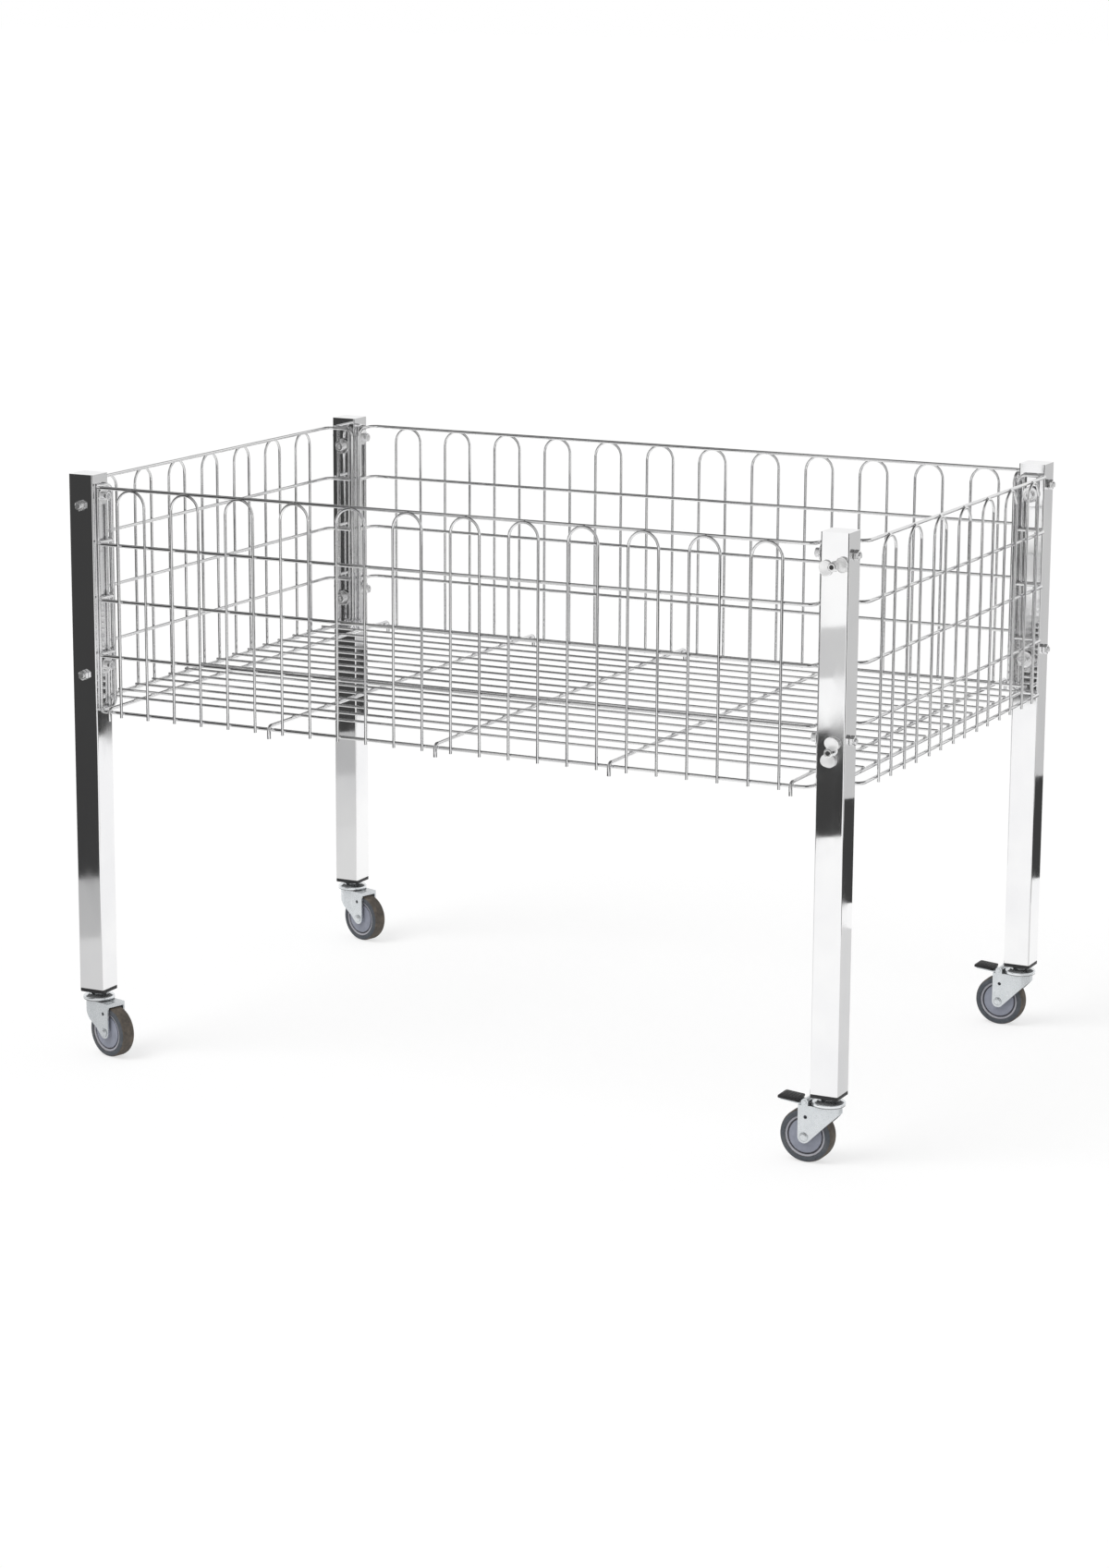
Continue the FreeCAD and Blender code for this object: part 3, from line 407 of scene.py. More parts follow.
def rubber(name, low, high, dusty):
    """Dark rubber with dust rubbed into it and a fine moulded grain."""
    s = Shader(name, roughness=0.8, specular=0.3)
    dark = s.ramp(s.noise(scale=260.0, detail=5.0), [(0.3, low), (0.7, high)])
    thin_dust = [0.85 * v for v in dusty]
    dust = s.ramp(s.noise(scale=700.0, detail=6.0), [(0.3, thin_dust), (0.7, dusty)])
    worn = s.ramp(s.noise(scale=75.0, detail=7.0, rough=0.65), [(0.48, 0.0), (0.66, 0.75)])
    s.colour(s.mix(worn, dark, dust))
    s.roughness(s.ramp(s.noise(scale=300.0, detail=4.0), [(0.3, 0.68), (0.7, 0.9)]))
    s.bump(s.noise(scale=1500.0, detail=4.0), strength=0.5, distance=0.3 * MM)
    return s.material


def plastic(name, low, high, rough, grain, depth):
    """Moulded plastic with a soft mottle and a fine spark-eroded grain."""
    s = Shader(name, specular=0.45)
    s.colour(s.ramp(s.noise(scale=110.0, detail=5.0), [(0.3, low), (0.7, high)]))
    dull = s.noise(scale=500.0, detail=4.0)
    s.roughness(s.ramp(dull, [(0.3, rough * 0.8), (0.75, rough * 1.2)]))
    s.bump(s.noise(scale=grain, detail=3.0), strength=0.5, distance=depth)
    return s.material


DENT_REACH, DENT_DEPTH = 19 * MM, 0.17 * MM
BOLT_SPOTS = [((0, 1, 1), (0, LEG_AXIS_Y, level)) for level in BOLT_LEVELS_X]
BOLT_SPOTS += [((1, 0, 1), (LEG_AXIS_X, 0, level - BOLT_STAGGER)) for level in BOLT_LEVELS_X]
# The cup's seam height: below it the cup is painted dark, a painted shadow under its rim.
CUP_SEAM, SEAM_SHADE_EDGE = 83.0 * MM, 0.9 * MM

LEG_CHROME = chrome(
    "leg_chrome", (0.89, 0.89, 0.90), (0.95, 0.95, 0.95), smudge=0.10, wave=0.05,
    spots=BOLT_SPOTS)
WIRE_CHROME = chrome(
    "wire_chrome", (0.76, 0.76, 0.77), (0.86, 0.86, 0.86), smudge=0.16, wave=0.08)
# Painted shade: the weld beads are painted darker than the wire, for the shade where the wires
# meet.
WELD_CHROME = chrome(
    "weld_chrome", (0.62, 0.62, 0.63), (0.74, 0.74, 0.74), smudge=0.25, wave=0.3)
ZINC = zinc(
    "caster_zinc", (0.66, 0.69, 0.71), (0.71, 0.735, 0.755), rough=0.26, metallic=0.75)
BOLT_ZINC = zinc(
    "fastener_zinc", (0.82, 0.82, 0.83), (0.92, 0.92, 0.92), rough=0.16, metallic=0.85)
WING_ZINC = zinc(
    "wing_nut_zinc", (0.86, 0.86, 0.86), (0.94, 0.94, 0.94), rough=0.2, metallic=0.4)
# Painted shade: the inside of each wing nut's bore is painted near black for the shade in the
# hole.
BORE_PAINTED_SHADE = zinc(
    "bolt_bore_painted_shade", (0.03, 0.03, 0.03), (0.06, 0.06, 0.06), rough=0.5, metallic=0.3)
HUB_ZINC = zinc(
    "wing_hub_zinc", (0.78, 0.78, 0.78), (0.88, 0.88, 0.88), rough=0.12, metallic=1.0)
CUP_ZINC = zinc(
    "cup_zinc", (0.80, 0.83, 0.85), (0.88, 0.90, 0.92), rough=0.14, metallic=0.85,
    seam=CUP_SEAM)
HUB = plastic(
    "hub_plastic", (0.235, 0.25, 0.305), (0.29, 0.305, 0.365), rough=0.42, grain=900.0,
    depth=0.15 * MM)
HUB_RING = plastic(
    "hub_ring", (0.36, 0.36, 0.40), (0.44, 0.44, 0.48), rough=0.38, grain=900.0,
    depth=0.1 * MM)
# Painted shade: the floor of the groove between hub disc and rim is painted near black for the
# shade in the groove.
GROOVE = plastic(
    "hub_groove", (0.055, 0.055, 0.065), (0.08, 0.08, 0.09), rough=0.55, grain=900.0,
    depth=0.2 * MM)
BLACK = plastic(
    "black_plastic", (0.012, 0.012, 0.013), (0.022, 0.022, 0.024), rough=0.5, grain=1300.0,
    depth=0.3 * MM)
TREAD = rubber(
    "tread_rubber", (0.085, 0.075, 0.066), (0.12, 0.105, 0.09), dusty=(0.20, 0.165, 0.13))
TYRE_SIDE = rubber(
    "tyre_side_rubber", (0.075, 0.083, 0.095), (0.10, 0.11, 0.125),
    dusty=(0.13, 0.135, 0.145))


# ---------------------------------------------------------------- basket panels


def panel_matrix(side):
    """Panel frame: x along the panel, y inwards from the outer faces of the legs."""
    turn, spot = {
        "front": (0.0, (0, -WIDTH / 2, 0)),
        "back": (math.pi, (0, WIDTH / 2, 0)),
        "left": (-math.pi / 2, (-LENGTH / 2, 0, 0)),
        "right": (math.pi / 2, (LENGTH / 2, 0, 0)),
    }[side]
    return Matrix.Translation(spot) @ Matrix.Rotation(turn, 4, "Z")


def panel(side, span, count, pitch):
    place = panel_matrix(side)
    end = span / 2 - LEG - SEAT - RAIL_INSET
    top, bottom = RAIL_LEVELS[0], RAIL_LEVELS[-1]
    middle = (top + bottom) / 2
    rail_y, hoop_y = RAIL_INSET - OUTSET, HOOP_R - OUTSET
    rails, hoops, beads = bmesh.new(), bmesh.new(), bmesh.new()

    ring = [(-end, TAB_REACH, middle), (-end, TAB_REACH, top), (-end, rail_y, top)]
    ring += [(end, rail_y, top), (end, TAB_REACH, top), (end, TAB_REACH, bottom)]
    ring += [(end, rail_y, bottom), (-end, rail_y, bottom), (-end, TAB_REACH, bottom)]
    ring += [(-end, TAB_REACH, middle - RING_GAP)]
    bends = [TAB_BEND, RAIL_BEND, RAIL_BEND, TAB_BEND, TAB_BEND, RAIL_BEND, RAIL_BEND, TAB_BEND]
    sweep(rails, [place @ p for p in rounded(ring, bends)], RAIL_R)
    for level in RAIL_LEVELS[1:-1]:
        run = [(-end, RAIL_STOP, level), (-end, rail_y, level)]
        run += [(end, rail_y, level), (end, RAIL_STOP, level)]
        sweep(rails, [place @ p for p in rounded(run, [RAIL_BEND] * 2)], RAIL_R)
        for x in (-end, end):
            weld(beads, place @ Vector((x, RAIL_STOP, level)), RAIL_END_WELD_R)

    for i in range(count):
        x = (i - (count - 1) / 2) * pitch
        arch = [(x - HOOP_HALF, hoop_y, HOOP_FOOT), (x - HOOP_HALF, hoop_y, HOOP_CROWN)]
        arch += [(x + HOOP_HALF, hoop_y, HOOP_CROWN), (x + HOOP_HALF, hoop_y, HOOP_FOOT)]
        path = rounded(arch, [HOOP_HALF] * 2)
        sweep(hoops, [place @ p for p in path], HOOP_R)
        for level in RAIL_LEVELS[1:]:
            for wire in (x - HOOP_HALF, x + HOOP_HALF):
                contact = Vector((wire, hoop_y + HOOP_R, level))
                weld(beads, place @ contact, WELD_R)
        weld(beads, place @ Vector((x, hoop_y + HOOP_R, top)), WELD_R)

    beside = span / 2 - LEG - SEAT - HOOP_R
    for x in (-beside, beside):
        for side_sign in (-1, 1):
            y = LEG / 2 + side_sign * TAB_ROD_SPACING / 2
            ends = [Vector((x, y, bottom - ROD_OVERRUN)), Vector((x, y, top + ROD_OVERRUN))]
            sweep(hoops, [place @ p for p in ends], HOOP_R)
            for level in RAIL_LEVELS:
                inner = x - math.copysign(HOOP_R, x)
                weld(beads, place @ Vector((inner, y, level)), WELD_R)

    make("panel_%s_rail_wires" % side, rails, WIRE_CHROME, "frame",
         ["panel_%s_rails" % side], slot="chromed_wire")
    make("panel_%s_hoop_wires" % side, hoops, WIRE_CHROME, "frame",
         ["panel_%s_hoops" % side], slot="chromed_wire")
    make("panel_%s_welds" % side, beads, WELD_CHROME, "frame", slot="chromed_wire")


panel("front", LENGTH, HOOPS_LONG, PITCH_LONG)
panel("back", LENGTH, HOOPS_LONG, PITCH_LONG)
panel("left", WIDTH, HOOPS_SHORT, PITCH_SHORT)
panel("right", WIDTH, HOOPS_SHORT, PITCH_SHORT)


# ---------------------------------------------------------------- base rack


def rack():
    bars, wires, beads = bmesh.new(), bmesh.new(), bmesh.new()
    cross = [(i - (BARS - 1) / 2) * BAR_PITCH for i in range(BARS)]
    rows = [(i - (RACK_WIRES - 1) / 2) * RACK_PITCH for i in range(RACK_WIRES)]
    for x in cross:
        run = [(x, -HOOK_Y, HOOK_END), (x, -HOOK_Y, BAR_LEVEL)]
        run += [(x, HOOK_Y, BAR_LEVEL), (x, HOOK_Y, HOOK_END)]
        sweep(bars, rounded(run, [HOOK_BEND] * 2), BAR_R, sides=BAR_SIDES)
    end_x = RACK_WIRE_END - BAR_R
    end_y = rows[-1] + RACK_WIRE_R
    for x in (-end_x, end_x):
        ends = [Vector((x, -end_y, BAR_LEVEL)), Vector((x, end_y, BAR_LEVEL))]
        sweep(bars, ends, BAR_R, sides=BAR_SIDES)
    level = BAR_LEVEL + BAR_R + RACK_WIRE_R
    for y in rows:
        ends = [Vector((-RACK_WIRE_END, y, level)), Vector((RACK_WIRE_END, y, level))]
        sweep(wires, ends, RACK_WIRE_R)
        for x in [-end_x, *cross, end_x]:
            weld(beads, Vector((x, y, BAR_LEVEL + BAR_R)), RACK_WELD_R)
    make("rack_cross_bars", bars, WIRE_CHROME, "base_rack", ["rack_bars"], slot="chromed_wire")
    make("rack_long_wires", wires, WIRE_CHROME, "base_rack", ["rack_wires"], slot="chromed_wire")
    make("rack_welds", beads, WELD_CHROME, "base_rack", slot="chromed_wire")


rack()


# ---------------------------------------------------------------- panel fasteners


def hexagon(flats):
    radius = flats / math.sqrt(3)
    angles = [math.radians(60 * k + 30) for k in range(6)]
    return [(radius * math.cos(a), radius * math.sin(a)) for a in angles]


def outward(direction, distance, level, x_sign, y_sign):
    """A frame on a bolt's axis with Z pointing out of the leg."""
    centre = Vector((x_sign * LEG_AXIS_X, y_sign * LEG_AXIS_Y, level))
    turn = Vector((0, 0, 1)).rotation_difference(direction).to_matrix().to_4x4()
    upright = Matrix.Translation(centre + direction * distance) @ turn
    up = upright.to_3x3().inverted() @ Vector((0, 0, 1))
    return upright @ Matrix.Rotation(math.atan2(up.y, up.x) - math.pi / 2, 4, "Z")


SOCKET_R, SOCKET_FLOOR_R, SOCKET_DEPTH = 3.4 * MM, 2.6 * MM, 4 * MM
THREAD_TURN, THREAD_DEPTH, THREAD_CREST = 1.0 * MM, 0.35 * MM, 0.1 * MM
BOLT_END, THREAD_RUNOUT = 2.5 * MM, 0.8 * MM
COLLAR_R, COLLAR_H = 5.6 * MM, 0.15 * MM
WASHER_BORE = 4.4 * MM


def bolt(bm, place, grip):
    head = [(SOCKET_R, 0), (BOLT_R, 0), (HEAD_R, 0), (HEAD_R, -HEAD_H), (SOCKET_R, -HEAD_H)]
    head += [(SOCKET_FLOOR_R, -SOCKET_DEPTH), (0, -SOCKET_DEPTH), (0, 0)]
    soft = [0, 0, 0.2 * MM, 0.9 * MM, 0.2 * MM, 0, 0, 0]
    lathe(bm, soft_profile(head, soft), place, sides=32)
    shank = [(0, 0)]
    height = 0.0
    while height < grip - THREAD_RUNOUT:
        shank.append((BOLT_R, height + THREAD_CREST))
        shank.append((BOLT_R - THREAD_DEPTH, height + THREAD_TURN / 2))
        height += THREAD_TURN
    shank += [(BOLT_R - THREAD_DEPTH, grip), (0, grip)]
    lathe(bm, shank, place, sides=20)


def nut(bm, place):
    prism(bm, hexagon(NUT_FLATS), 0, NUT_H, place, edge=0.7 * MM)
    top = NUT_H + COLLAR_H
    collar = [(BOLT_R, 0), (COLLAR_R, 0), (COLLAR_R, top), (BOLT_R, top)]
    lathe(bm, soft_profile(collar, [0, 0, 0.3 * MM, 0.3 * MM]), place, sides=28)


WING_TURNS = (math.radians(14), math.radians(78))
WING_STEPS, WING_SIDES = 14, 20
WING_START, WING_SWEEP, WING_BLUNT = 0.12, 0.86, 0.8
WING_MIDDLE, WING_REACH, WING_TIP = 11.8 * MM, 8.6 * MM, 20 * MM
WING_HALF, WING_THICK = 10.5 * MM, 0.9 * MM
WING_SEAT, WING_FLARE = 1.1 * MM, 2.6 * MM
WING_CURL, WING_LEAN = 0.16, 0.3
WING_HUB = [(0, 0), (7.2, 0), (6.0, 9.6), (4.6, 10.4), (3.0, 10.4), (2.6, 6.6), (0, 6.6)]
WING_HUB_SOFT = [0, 0.5, 1.4, 0.4, 0.4, 0, 0]
WING_BORE = [(0, 6), (2.7, 6), (3.1, 10.5), (0, 9.6)]


def petal(bm, place, side):
    """One wing: flat ellipses along an egg outline that flares away from the leg."""
    rows = []
    for i in range(WING_STEPS + 1):
        turn = math.pi * (WING_START + WING_SWEEP * i / WING_STEPS)
        reach = WING_MIDDLE - WING_REACH * math.cos(turn)
        wide = WING_HALF * math.sin(turn) ** WING_BLUNT
        lift = WING_SEAT + WING_FLARE * (reach / WING_TIP) ** 2
        row = []
        for k in range(WING_SIDES):
            angle = 2 * math.pi * k / WING_SIDES
            thick = WING_THICK * math.sin(angle)
            curl = WING_CURL * wide * math.cos(angle) ** 2
            along = side * (reach - WING_LEAN * thick)
            spot = Vector((along, wide * math.cos(angle), lift + curl + thick))
            row.append(bm.verts.new(place @ spot))
        rows.append(row)
    for low, high in zip(rows, rows[1:]):
        band(bm, low, high)
    bm.faces.new(rows[0])
    bm.faces.new(rows[-1])


def fasteners():
    bolts, washers, nuts, wings, hubs, bores = (bmesh.new() for _ in range(6))
    half = LEG / 2
    stack = SEAT + 2 * HOOP_R + SEAT
    grip = WASHER_T + 3 * SEAT + 2 * HOOP_R + LEG + NUT_H + BOLT_END
    disc = [(WASHER_BORE, 0), (WASHER_R, 0), (WASHER_R, WASHER_T), (WASHER_BORE, WASHER_T)]
    washer = soft_profile(disc, [0, 0.5 * MM, 0.3 * MM, 0])
    wing_turns = iter(WING_TURNS)
    for name, (x_sign, y_sign) in LEGS.items():
        ways = [(Vector((x_sign, 0, 0)), 0.0), (Vector((0, y_sign, 0)), BOLT_STAGGER)]
        for direction, drop in ways:
            for level in BOLT_LEVELS_X:
                at = (level - drop, x_sign, y_sign)
                inner = outward(direction, -(half + stack + WASHER_T), *at)
                lathe(washers, washer, inner, sides=40)
                bolt(bolts, outward(direction, -(half + stack + WASHER_T + SEAT), *at), grip)
                outer = outward(direction, half + SEAT, *at)
                if name != "front_right" or not direction.y:
                    nut(nuts, outer)
                    continue
                turned_wing = outer @ Matrix.Rotation(next(wing_turns), 4, "Z")
                turned(hubs, WING_HUB, WING_HUB_SOFT, turned_wing, sides=32)
                for side in (1, -1):
                    petal(wings, turned_wing, side)
                # The bore, painted near black as painted shade in the hole.
                lathe(bores, in_mm(WING_BORE), outer, sides=24)
    slot = "zinc_fastener"
    make("bolt_set", bolts, BOLT_ZINC, "frame", ["panel_bolts"], slot=slot)
    make("washer_set", washers, BOLT_ZINC, "frame", ["panel_washers"], slot=slot)
    make("nut_set", nuts, BOLT_ZINC, "frame", ["panel_nuts"], slot=slot, sharp=25)
    make("wing_nut_pair", wings, WING_ZINC, "frame", ["wing_nuts"], slot=slot)
    make("wing_nut_hubs", hubs, HUB_ZINC, "frame", slot=slot)
    make("wing_nut_bores", bores, BORE_PAINTED_SHADE, "frame", slot=slot)


fasteners()


# ---------------------------------------------------------------- casters


def leg_axis(name):
    x_sign, y_sign = LEGS[name]
    return Matrix.Translation((x_sign * LEG_AXIS_X, y_sign * LEG_AXIS_Y, 0))


def caster_frame(name):
    turn = RIGHT_TURN if LEGS[name][0] > 0 else LEFT_TURN
    return leg_axis(name) @ Matrix.Rotation(turn, 4, "Z")


def axle_frame(name):
    """Z along the axle."""
    hub_centre = Matrix.Translation((TRAIL, 0, WHEEL_R))
    return caster_frame(name) @ hub_centre @ Matrix.Rotation(-math.pi / 2, 4, "X")


WHEEL_SIDES = 96
TREAD_EDGE = 10.6 * MM
# Half profiles in millimetres: (radius, distance from the middle plane of the wheel).
TYRE_HALF = [(37.5, 7.2), (36.3, 10.4), (33.4, 12), (29.0, 12)]
TYRE_SOFT = [2.5, 2.5, 1.8, 0.3]
DISC = [(4.06, 0.5), (4.06, 13.0), (8.6, 13.0), (9.4, 10.9), (23.6, 10.4), (24.1, 8.6)]
DISC += [(24.1, 0.5)]
DISC_SOFT = [0, 0.4, 0.6, 0.8, 0.5, 0, 0]
RIM = [(26.2, 0.5), (26.2, 10.6), (28.95, 10.9), (28.95, 0.5)]
RIM_SOFT = [0, 0.5, 0.4, 0]
GROOVE_FLOOR = [(23.5, 0.5), (23.5, 8.8), (26.6, 8.8), (26.6, 0.5)]
AXLE_HEAD = 3.5


def tyre(name):
    bm = bmesh.new()
    ring = [(r, -h) for r, h in reversed(TYRE_HALF)] + TYRE_HALF
    turned(bm, ring, TYRE_SOFT[::-1] + TYRE_SOFT, axle_frame(name), WHEEL_SIDES)
    replaced = ["tyre_" + name]
    piece = make("tread_" + name, bm, TREAD, "wheel_" + name, replaced, slot="tyre_rubber")
    piece.data.materials.append(TYRE_SIDE)
    to_axle = axle_frame(name).inverted()
    for face in piece.data.polygons:
        face.material_index = int(abs((to_axle @ face.center).z) > TREAD_EDGE)


def hub(name):
    place, body = axle_frame(name), "wheel_" + name
    disc, rim, groove = bmesh.new(), bmesh.new(), bmesh.new()
    for face in (1, -1):
        turned(disc, [(r, face * h) for r, h in DISC], DISC_SOFT, place, WHEEL_SIDES)
        turned(rim, [(r, face * h) for r, h in RIM], RIM_SOFT, place, WHEEL_SIDES)
        # The groove floor carries a painted shade, near black.
        lathe(groove, in_mm((r, face * h) for r, h in GROOVE_FLOOR), place, WHEEL_SIDES)
    make("hub_disc_" + name, disc, HUB, body, ["hub_" + name], slot="hub_plastic")
    make("hub_rim_" + name, rim, HUB_RING, body, slot="hub_plastic")
    make("hub_groove_" + name, groove, GROOVE, body, slot="hub_plastic")


def axle(name):
    bm = bmesh.new()
    seat = (CHEEK + SEAT) / MM
    tip = seat + AXLE_HEAD
    half = [(0, 0), (4, 0), (4, seat), (6.3, seat), (6.1, seat + 1.2), (4.2, tip - 0.5), (0, tip)]
    for face in (1, -1):
        outline = [(r, face * h) for r, h in half]
        turned(bm, outline, [0, 0, 0, 0.4, 1.0, 1.6, 0], axle_frame(name), sides=40)
    make("axle_pin_" + name, bm, ZINC, "swivel_" + name, ["axle_" + name], slot="zinc_plate")


# Profiles in millimetres, with heights above the floor. Flange, insert and boss are the plug.
FLANGE = [(20, -18), (20, 18), (18, 20), (-18, 20), (-20, 18), (-20, -18), (-18, -20), (18, -20)]
FLANGE_LEVELS = (94.5 * MM, 99.98 * MM)
INSERT = [(18.1, -18.1), (18.1, 18.1), (-18.1, 18.1), (-18.1, -18.1)]
INSERT_LEVELS = (99.5 * MM, 122 * MM)
BOSS = [(5.1, 91.5), (13.4, 91.5), (14.0, 94.6), (5.1, 94.6)]
BOSS_SOFT = [0.3, 0.8, 0, 0]
STEM = [(0, 76.2), (6.5, 76.2), (8, 77.6), (7.4, 78.7), (5, 78.7), (5, 115.5), (0, 115.5)]
STEM_SOFT = [0, 0.8, 0.5, 0.3, 0, 0.6, 0]
STEM_FLATS, STEM_HEX_LEVELS = 17 * MM, (85.9 * MM, 91.45 * MM)
CUP = [(5.06, 83.8), (13.2, 83.8), (15.6, 88.0), (20.6, 86.6), (21.0, 82.2)]
CUP += [(23.0, 82.2), (23.0, 87.4), (14.2, 90.0), (12.0, 85.8), (5.06, 85.8)]
CUP_SOFT = [0, 0.6, 1.0, 1.4, 0.6, 0.9, 2.2, 1.4, 0.8, 0]


def mountings():
    """Plugs, stems and bearing cups of all four legs."""
    plugs, stems, cups = bmesh.new(), bmesh.new(), bmesh.new()
    for name in LEGS:
        place = leg_axis(name)
        prism(plugs, in_mm(FLANGE), *FLANGE_LEVELS, place, edge=0.6 * MM)
        prism(plugs, in_mm(INSERT), *INSERT_LEVELS, place)
        turned(plugs, BOSS, BOSS_SOFT, place, sides=48)
        turned(stems, STEM, STEM_SOFT, place, sides=32)
        prism(stems, hexagon(STEM_FLATS), *STEM_HEX_LEVELS, place, edge=0.8 * MM)
        turned(cups, CUP, CUP_SOFT, place, sides=64)
    make("plug_set", plugs, BLACK, "frame", ["leg_plugs"], slot="black_plastic")
    make("stem_set", stems, ZINC, "frame", ["caster_stems"], slot="zinc_plate")
    make("cup_set", cups, CUP_ZINC, "frame", ["bearing_cups"], slot="zinc_plate", sharp=50)


PAD_START, PAD_END, PAD_RISE = 40.0 * MM, 69.0 * MM, 2.5 * MM
PAD_HALF = Vector((14.4 * MM, 16 * MM, 1.7 * MM))
PAD_CORNER = 3 * MM
RIBS, RIB_PITCH, RIB_HALF, RIB_H = 6, 4.2 * MM, 0.9 * MM, 0.35 * MM
RIB_LENGTH, RIB_ROOT = 0.82, 0.8


def pedal(name):
    """Foot pad with bevelled edges and cross ribs on its sloping top."""
    bm = bmesh.new()
    low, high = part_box("brake_pedal_" + name)
    slope = math.atan2(PAD_RISE, PAD_END - PAD_START)
    middle = Matrix.Translation(((PAD_START + PAD_END) / 2, 0, (low.z + high.z) / 2))
    pad = caster_frame(name) @ middle @ Matrix.Rotation(-slope, 4, "Y")
    x, y, z = PAD_HALF
    corners = [(0, -y, 0), (x, -y, 0), (x, y, 0), (-x, y, 0), (-x, -y, 0), (0, -y, 0)]
    outline = rounded(corners, [PAD_CORNER] * 4)
    prism(bm, [(p.x, p.y) for p in outline[:-1]], -z, z, pad, edge=0.7 * MM)
    end = y * RIB_LENGTH
    for i in range(RIBS):
        left = (i - (RIBS - 1) / 2) * RIB_PITCH - RIB_HALF
        right = left + 2 * RIB_HALF
        rib = [(left, -end), (right, -end), (right, end), (left, end)]
        prism(bm, rib, z * RIB_ROOT, z + RIB_H, pad, edge=0.25 * MM)
    body, replaced = "brake_" + name, ["brake_pedal_" + name]
    make("pedal_pad_" + name, bm, BLACK, body, replaced, slot="black_plastic")


BRAKED = ("front_right", "back_right")
for leg_name in LEGS:
    tyre(leg_name)
    hub(leg_name)
    axle(leg_name)
mountings()
for leg_name in BRAKED:
    pedal(leg_name)


# ---------------------------------------------------------------- solids that stay as they are


def repaint(node, material):
    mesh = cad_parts[node].data
    mesh.materials.clear()
    mesh.materials.append(material)


for leg_name in LEGS:
    repaint("leg_" + leg_name, LEG_CHROME)
    repaint("fork_" + leg_name, ZINC)
for leg_name in BRAKED:
    repaint("brake_lever_" + leg_name, ZINC)
    repaint("brake_pin_" + leg_name, ZINC)


# ---------------------------------------------------------------- floor and reflections


def sheet_of(name, corners, material):
    mesh = bpy.data.meshes.new(name)
    mesh.from_pydata(corners, [], [tuple(range(len(corners)))])
    mesh.materials.append(material)
    thing = bpy.data.objects.new(name, mesh)
    bpy.context.scene.collection.objects.link(thing)
    return thing


def floor_white():
    """A white floor that keeps a faint shadow. Camera and mirrors see it lifted to white."""
    material, tree = node_material("floor_white")
    bsdf = tree.nodes["Principled BSDF"]
    bsdf.inputs["Base Color"].default_value = (0.93, 0.93, 0.93, 1)
    bsdf.inputs["Roughness"].default_value = 0.9
    bsdf.inputs["Specular IOR Level"].default_value = 0.0
    path = tree.nodes.new("ShaderNodeLightPath")
    seen = tree.nodes.new("ShaderNodeMath")
    seen.operation = "MAXIMUM"
    share = tree.nodes.new("ShaderNodeMath")
    share.operation = "MULTIPLY"
    share.inputs[1].default_value = FLOOR_LIFT
    glow = tree.nodes.new("ShaderNodeEmission")
    glow.inputs["Strength"].default_value = FLOOR_GLOW
    blend = tree.nodes.new("ShaderNodeMixShader")
    tree.links.new(path.outputs["Is Camera Ray"], seen.inputs[0])
    tree.links.new(path.outputs["Is Glossy Ray"], seen.inputs[1])
    tree.links.new(seen.outputs[0], share.inputs[0])
    tree.links.new(share.outputs[0], blend.inputs["Fac"])
    tree.links.new(bsdf.outputs[0], blend.inputs[1])
    tree.links.new(glow.outputs[0], blend.inputs[2])
    tree.links.new(blend.outputs[0], tree.nodes["Material Output"].inputs["Surface"])
    return material


FLOOR_HALF = 60.0
FLOOR_LIFT, FLOOR_GLOW = 0.6, 1.1
FLOOR_CORNERS = [(-1, -1), (1, -1), (1, 1), (-1, 1)]
sheet_of("floor", [(x * FLOOR_HALF, y * FLOOR_HALF, 0) for x, y in FLOOR_CORNERS], floor_white())


def painted_reflection(name, value, corners):
    """A painted reflection: a sheet that only gloss sees. It glows evenly, lights nothing and
    throws no shadow.
    """
    material, tree = node_material(name)
    tree.nodes.remove(tree.nodes["Principled BSDF"])
    glow = tree.nodes.new("ShaderNodeEmission")
    glow.inputs["Color"].default_value = (value, value, value, 1)
    tree.links.new(glow.outputs[0], tree.nodes["Material Output"].inputs["Surface"])
    patch = sheet_of(name, corners, material)
    patch.visible_camera = False
    patch.visible_shadow = False
    patch.visible_diffuse = False


PATCH_HEIGHT = 0.002


def ground(name, value, spots):
    """A painted-reflection patch that lies on the floor."""
    painted_reflection(name, value, [(x, y, PATCH_HEIGHT) for x, y in spots])


def strip(name, value, normal, near, far, start, stop):
    """A long painted-reflection patch on the floor between two distances along a normal."""
    normal = Vector(normal).normalized()
    along = Vector((-normal.y, normal.x))
    corners = [(near, start), (far, start), (far, stop), (near, stop)]
    ground(name, value, [normal * a + along * b for a, b in corners])


def card(name, value, start, stop, low, high):
    """A painted-reflection patch that stands upright between two spots."""
    corners = [(*start, low), (*stop, low), (*stop, high), (*start, high)]
    painted_reflection(name, value, corners)


DARK = 0.05
TO_RIGHT, TO_FRONT_LEFT = (0.819, 0.574), (-0.658, -0.753)

# Painted reflections: only gloss sees the white floor sheet end in the front left and on the
# right, with dark ground painted beyond it. To the camera and the light the floor goes on white.
ground("ground_front_left", DARK, [
    (-8, 1.6), (-4.5, 1.6), (0.35, -2.64), (-0.275, -3.355), (-1.1, -2.63), (-2.9, -6), (-8, -6)])
strip("ground_right", DARK, TO_RIGHT, 1.476, 2.17, -3.0, 3.0)
strip("ground_far_right", 0.58, TO_RIGHT, 2.17, 9.0, -1.0, 6.0)
strip("ground_grey", 0.62, TO_FRONT_LEFT, 3.25, 3.87, 1.35, 2.55)
ground("ground_front_right", DARK, [(1.95, -6.5), (8, -6.5), (8, 0), (2.7, -0.7)])
ground("ground_back_left", DARK, [(-8, 1.6), (-3.4, 1.6), (-1.4, 3.2), (-1.2, 8), (-8, 8)])
ground("ground_back", DARK, [(-1.3, 2.0), (0.95, 2.0), (-1.8, 6.0), (-8, 12), (-8, 3)])
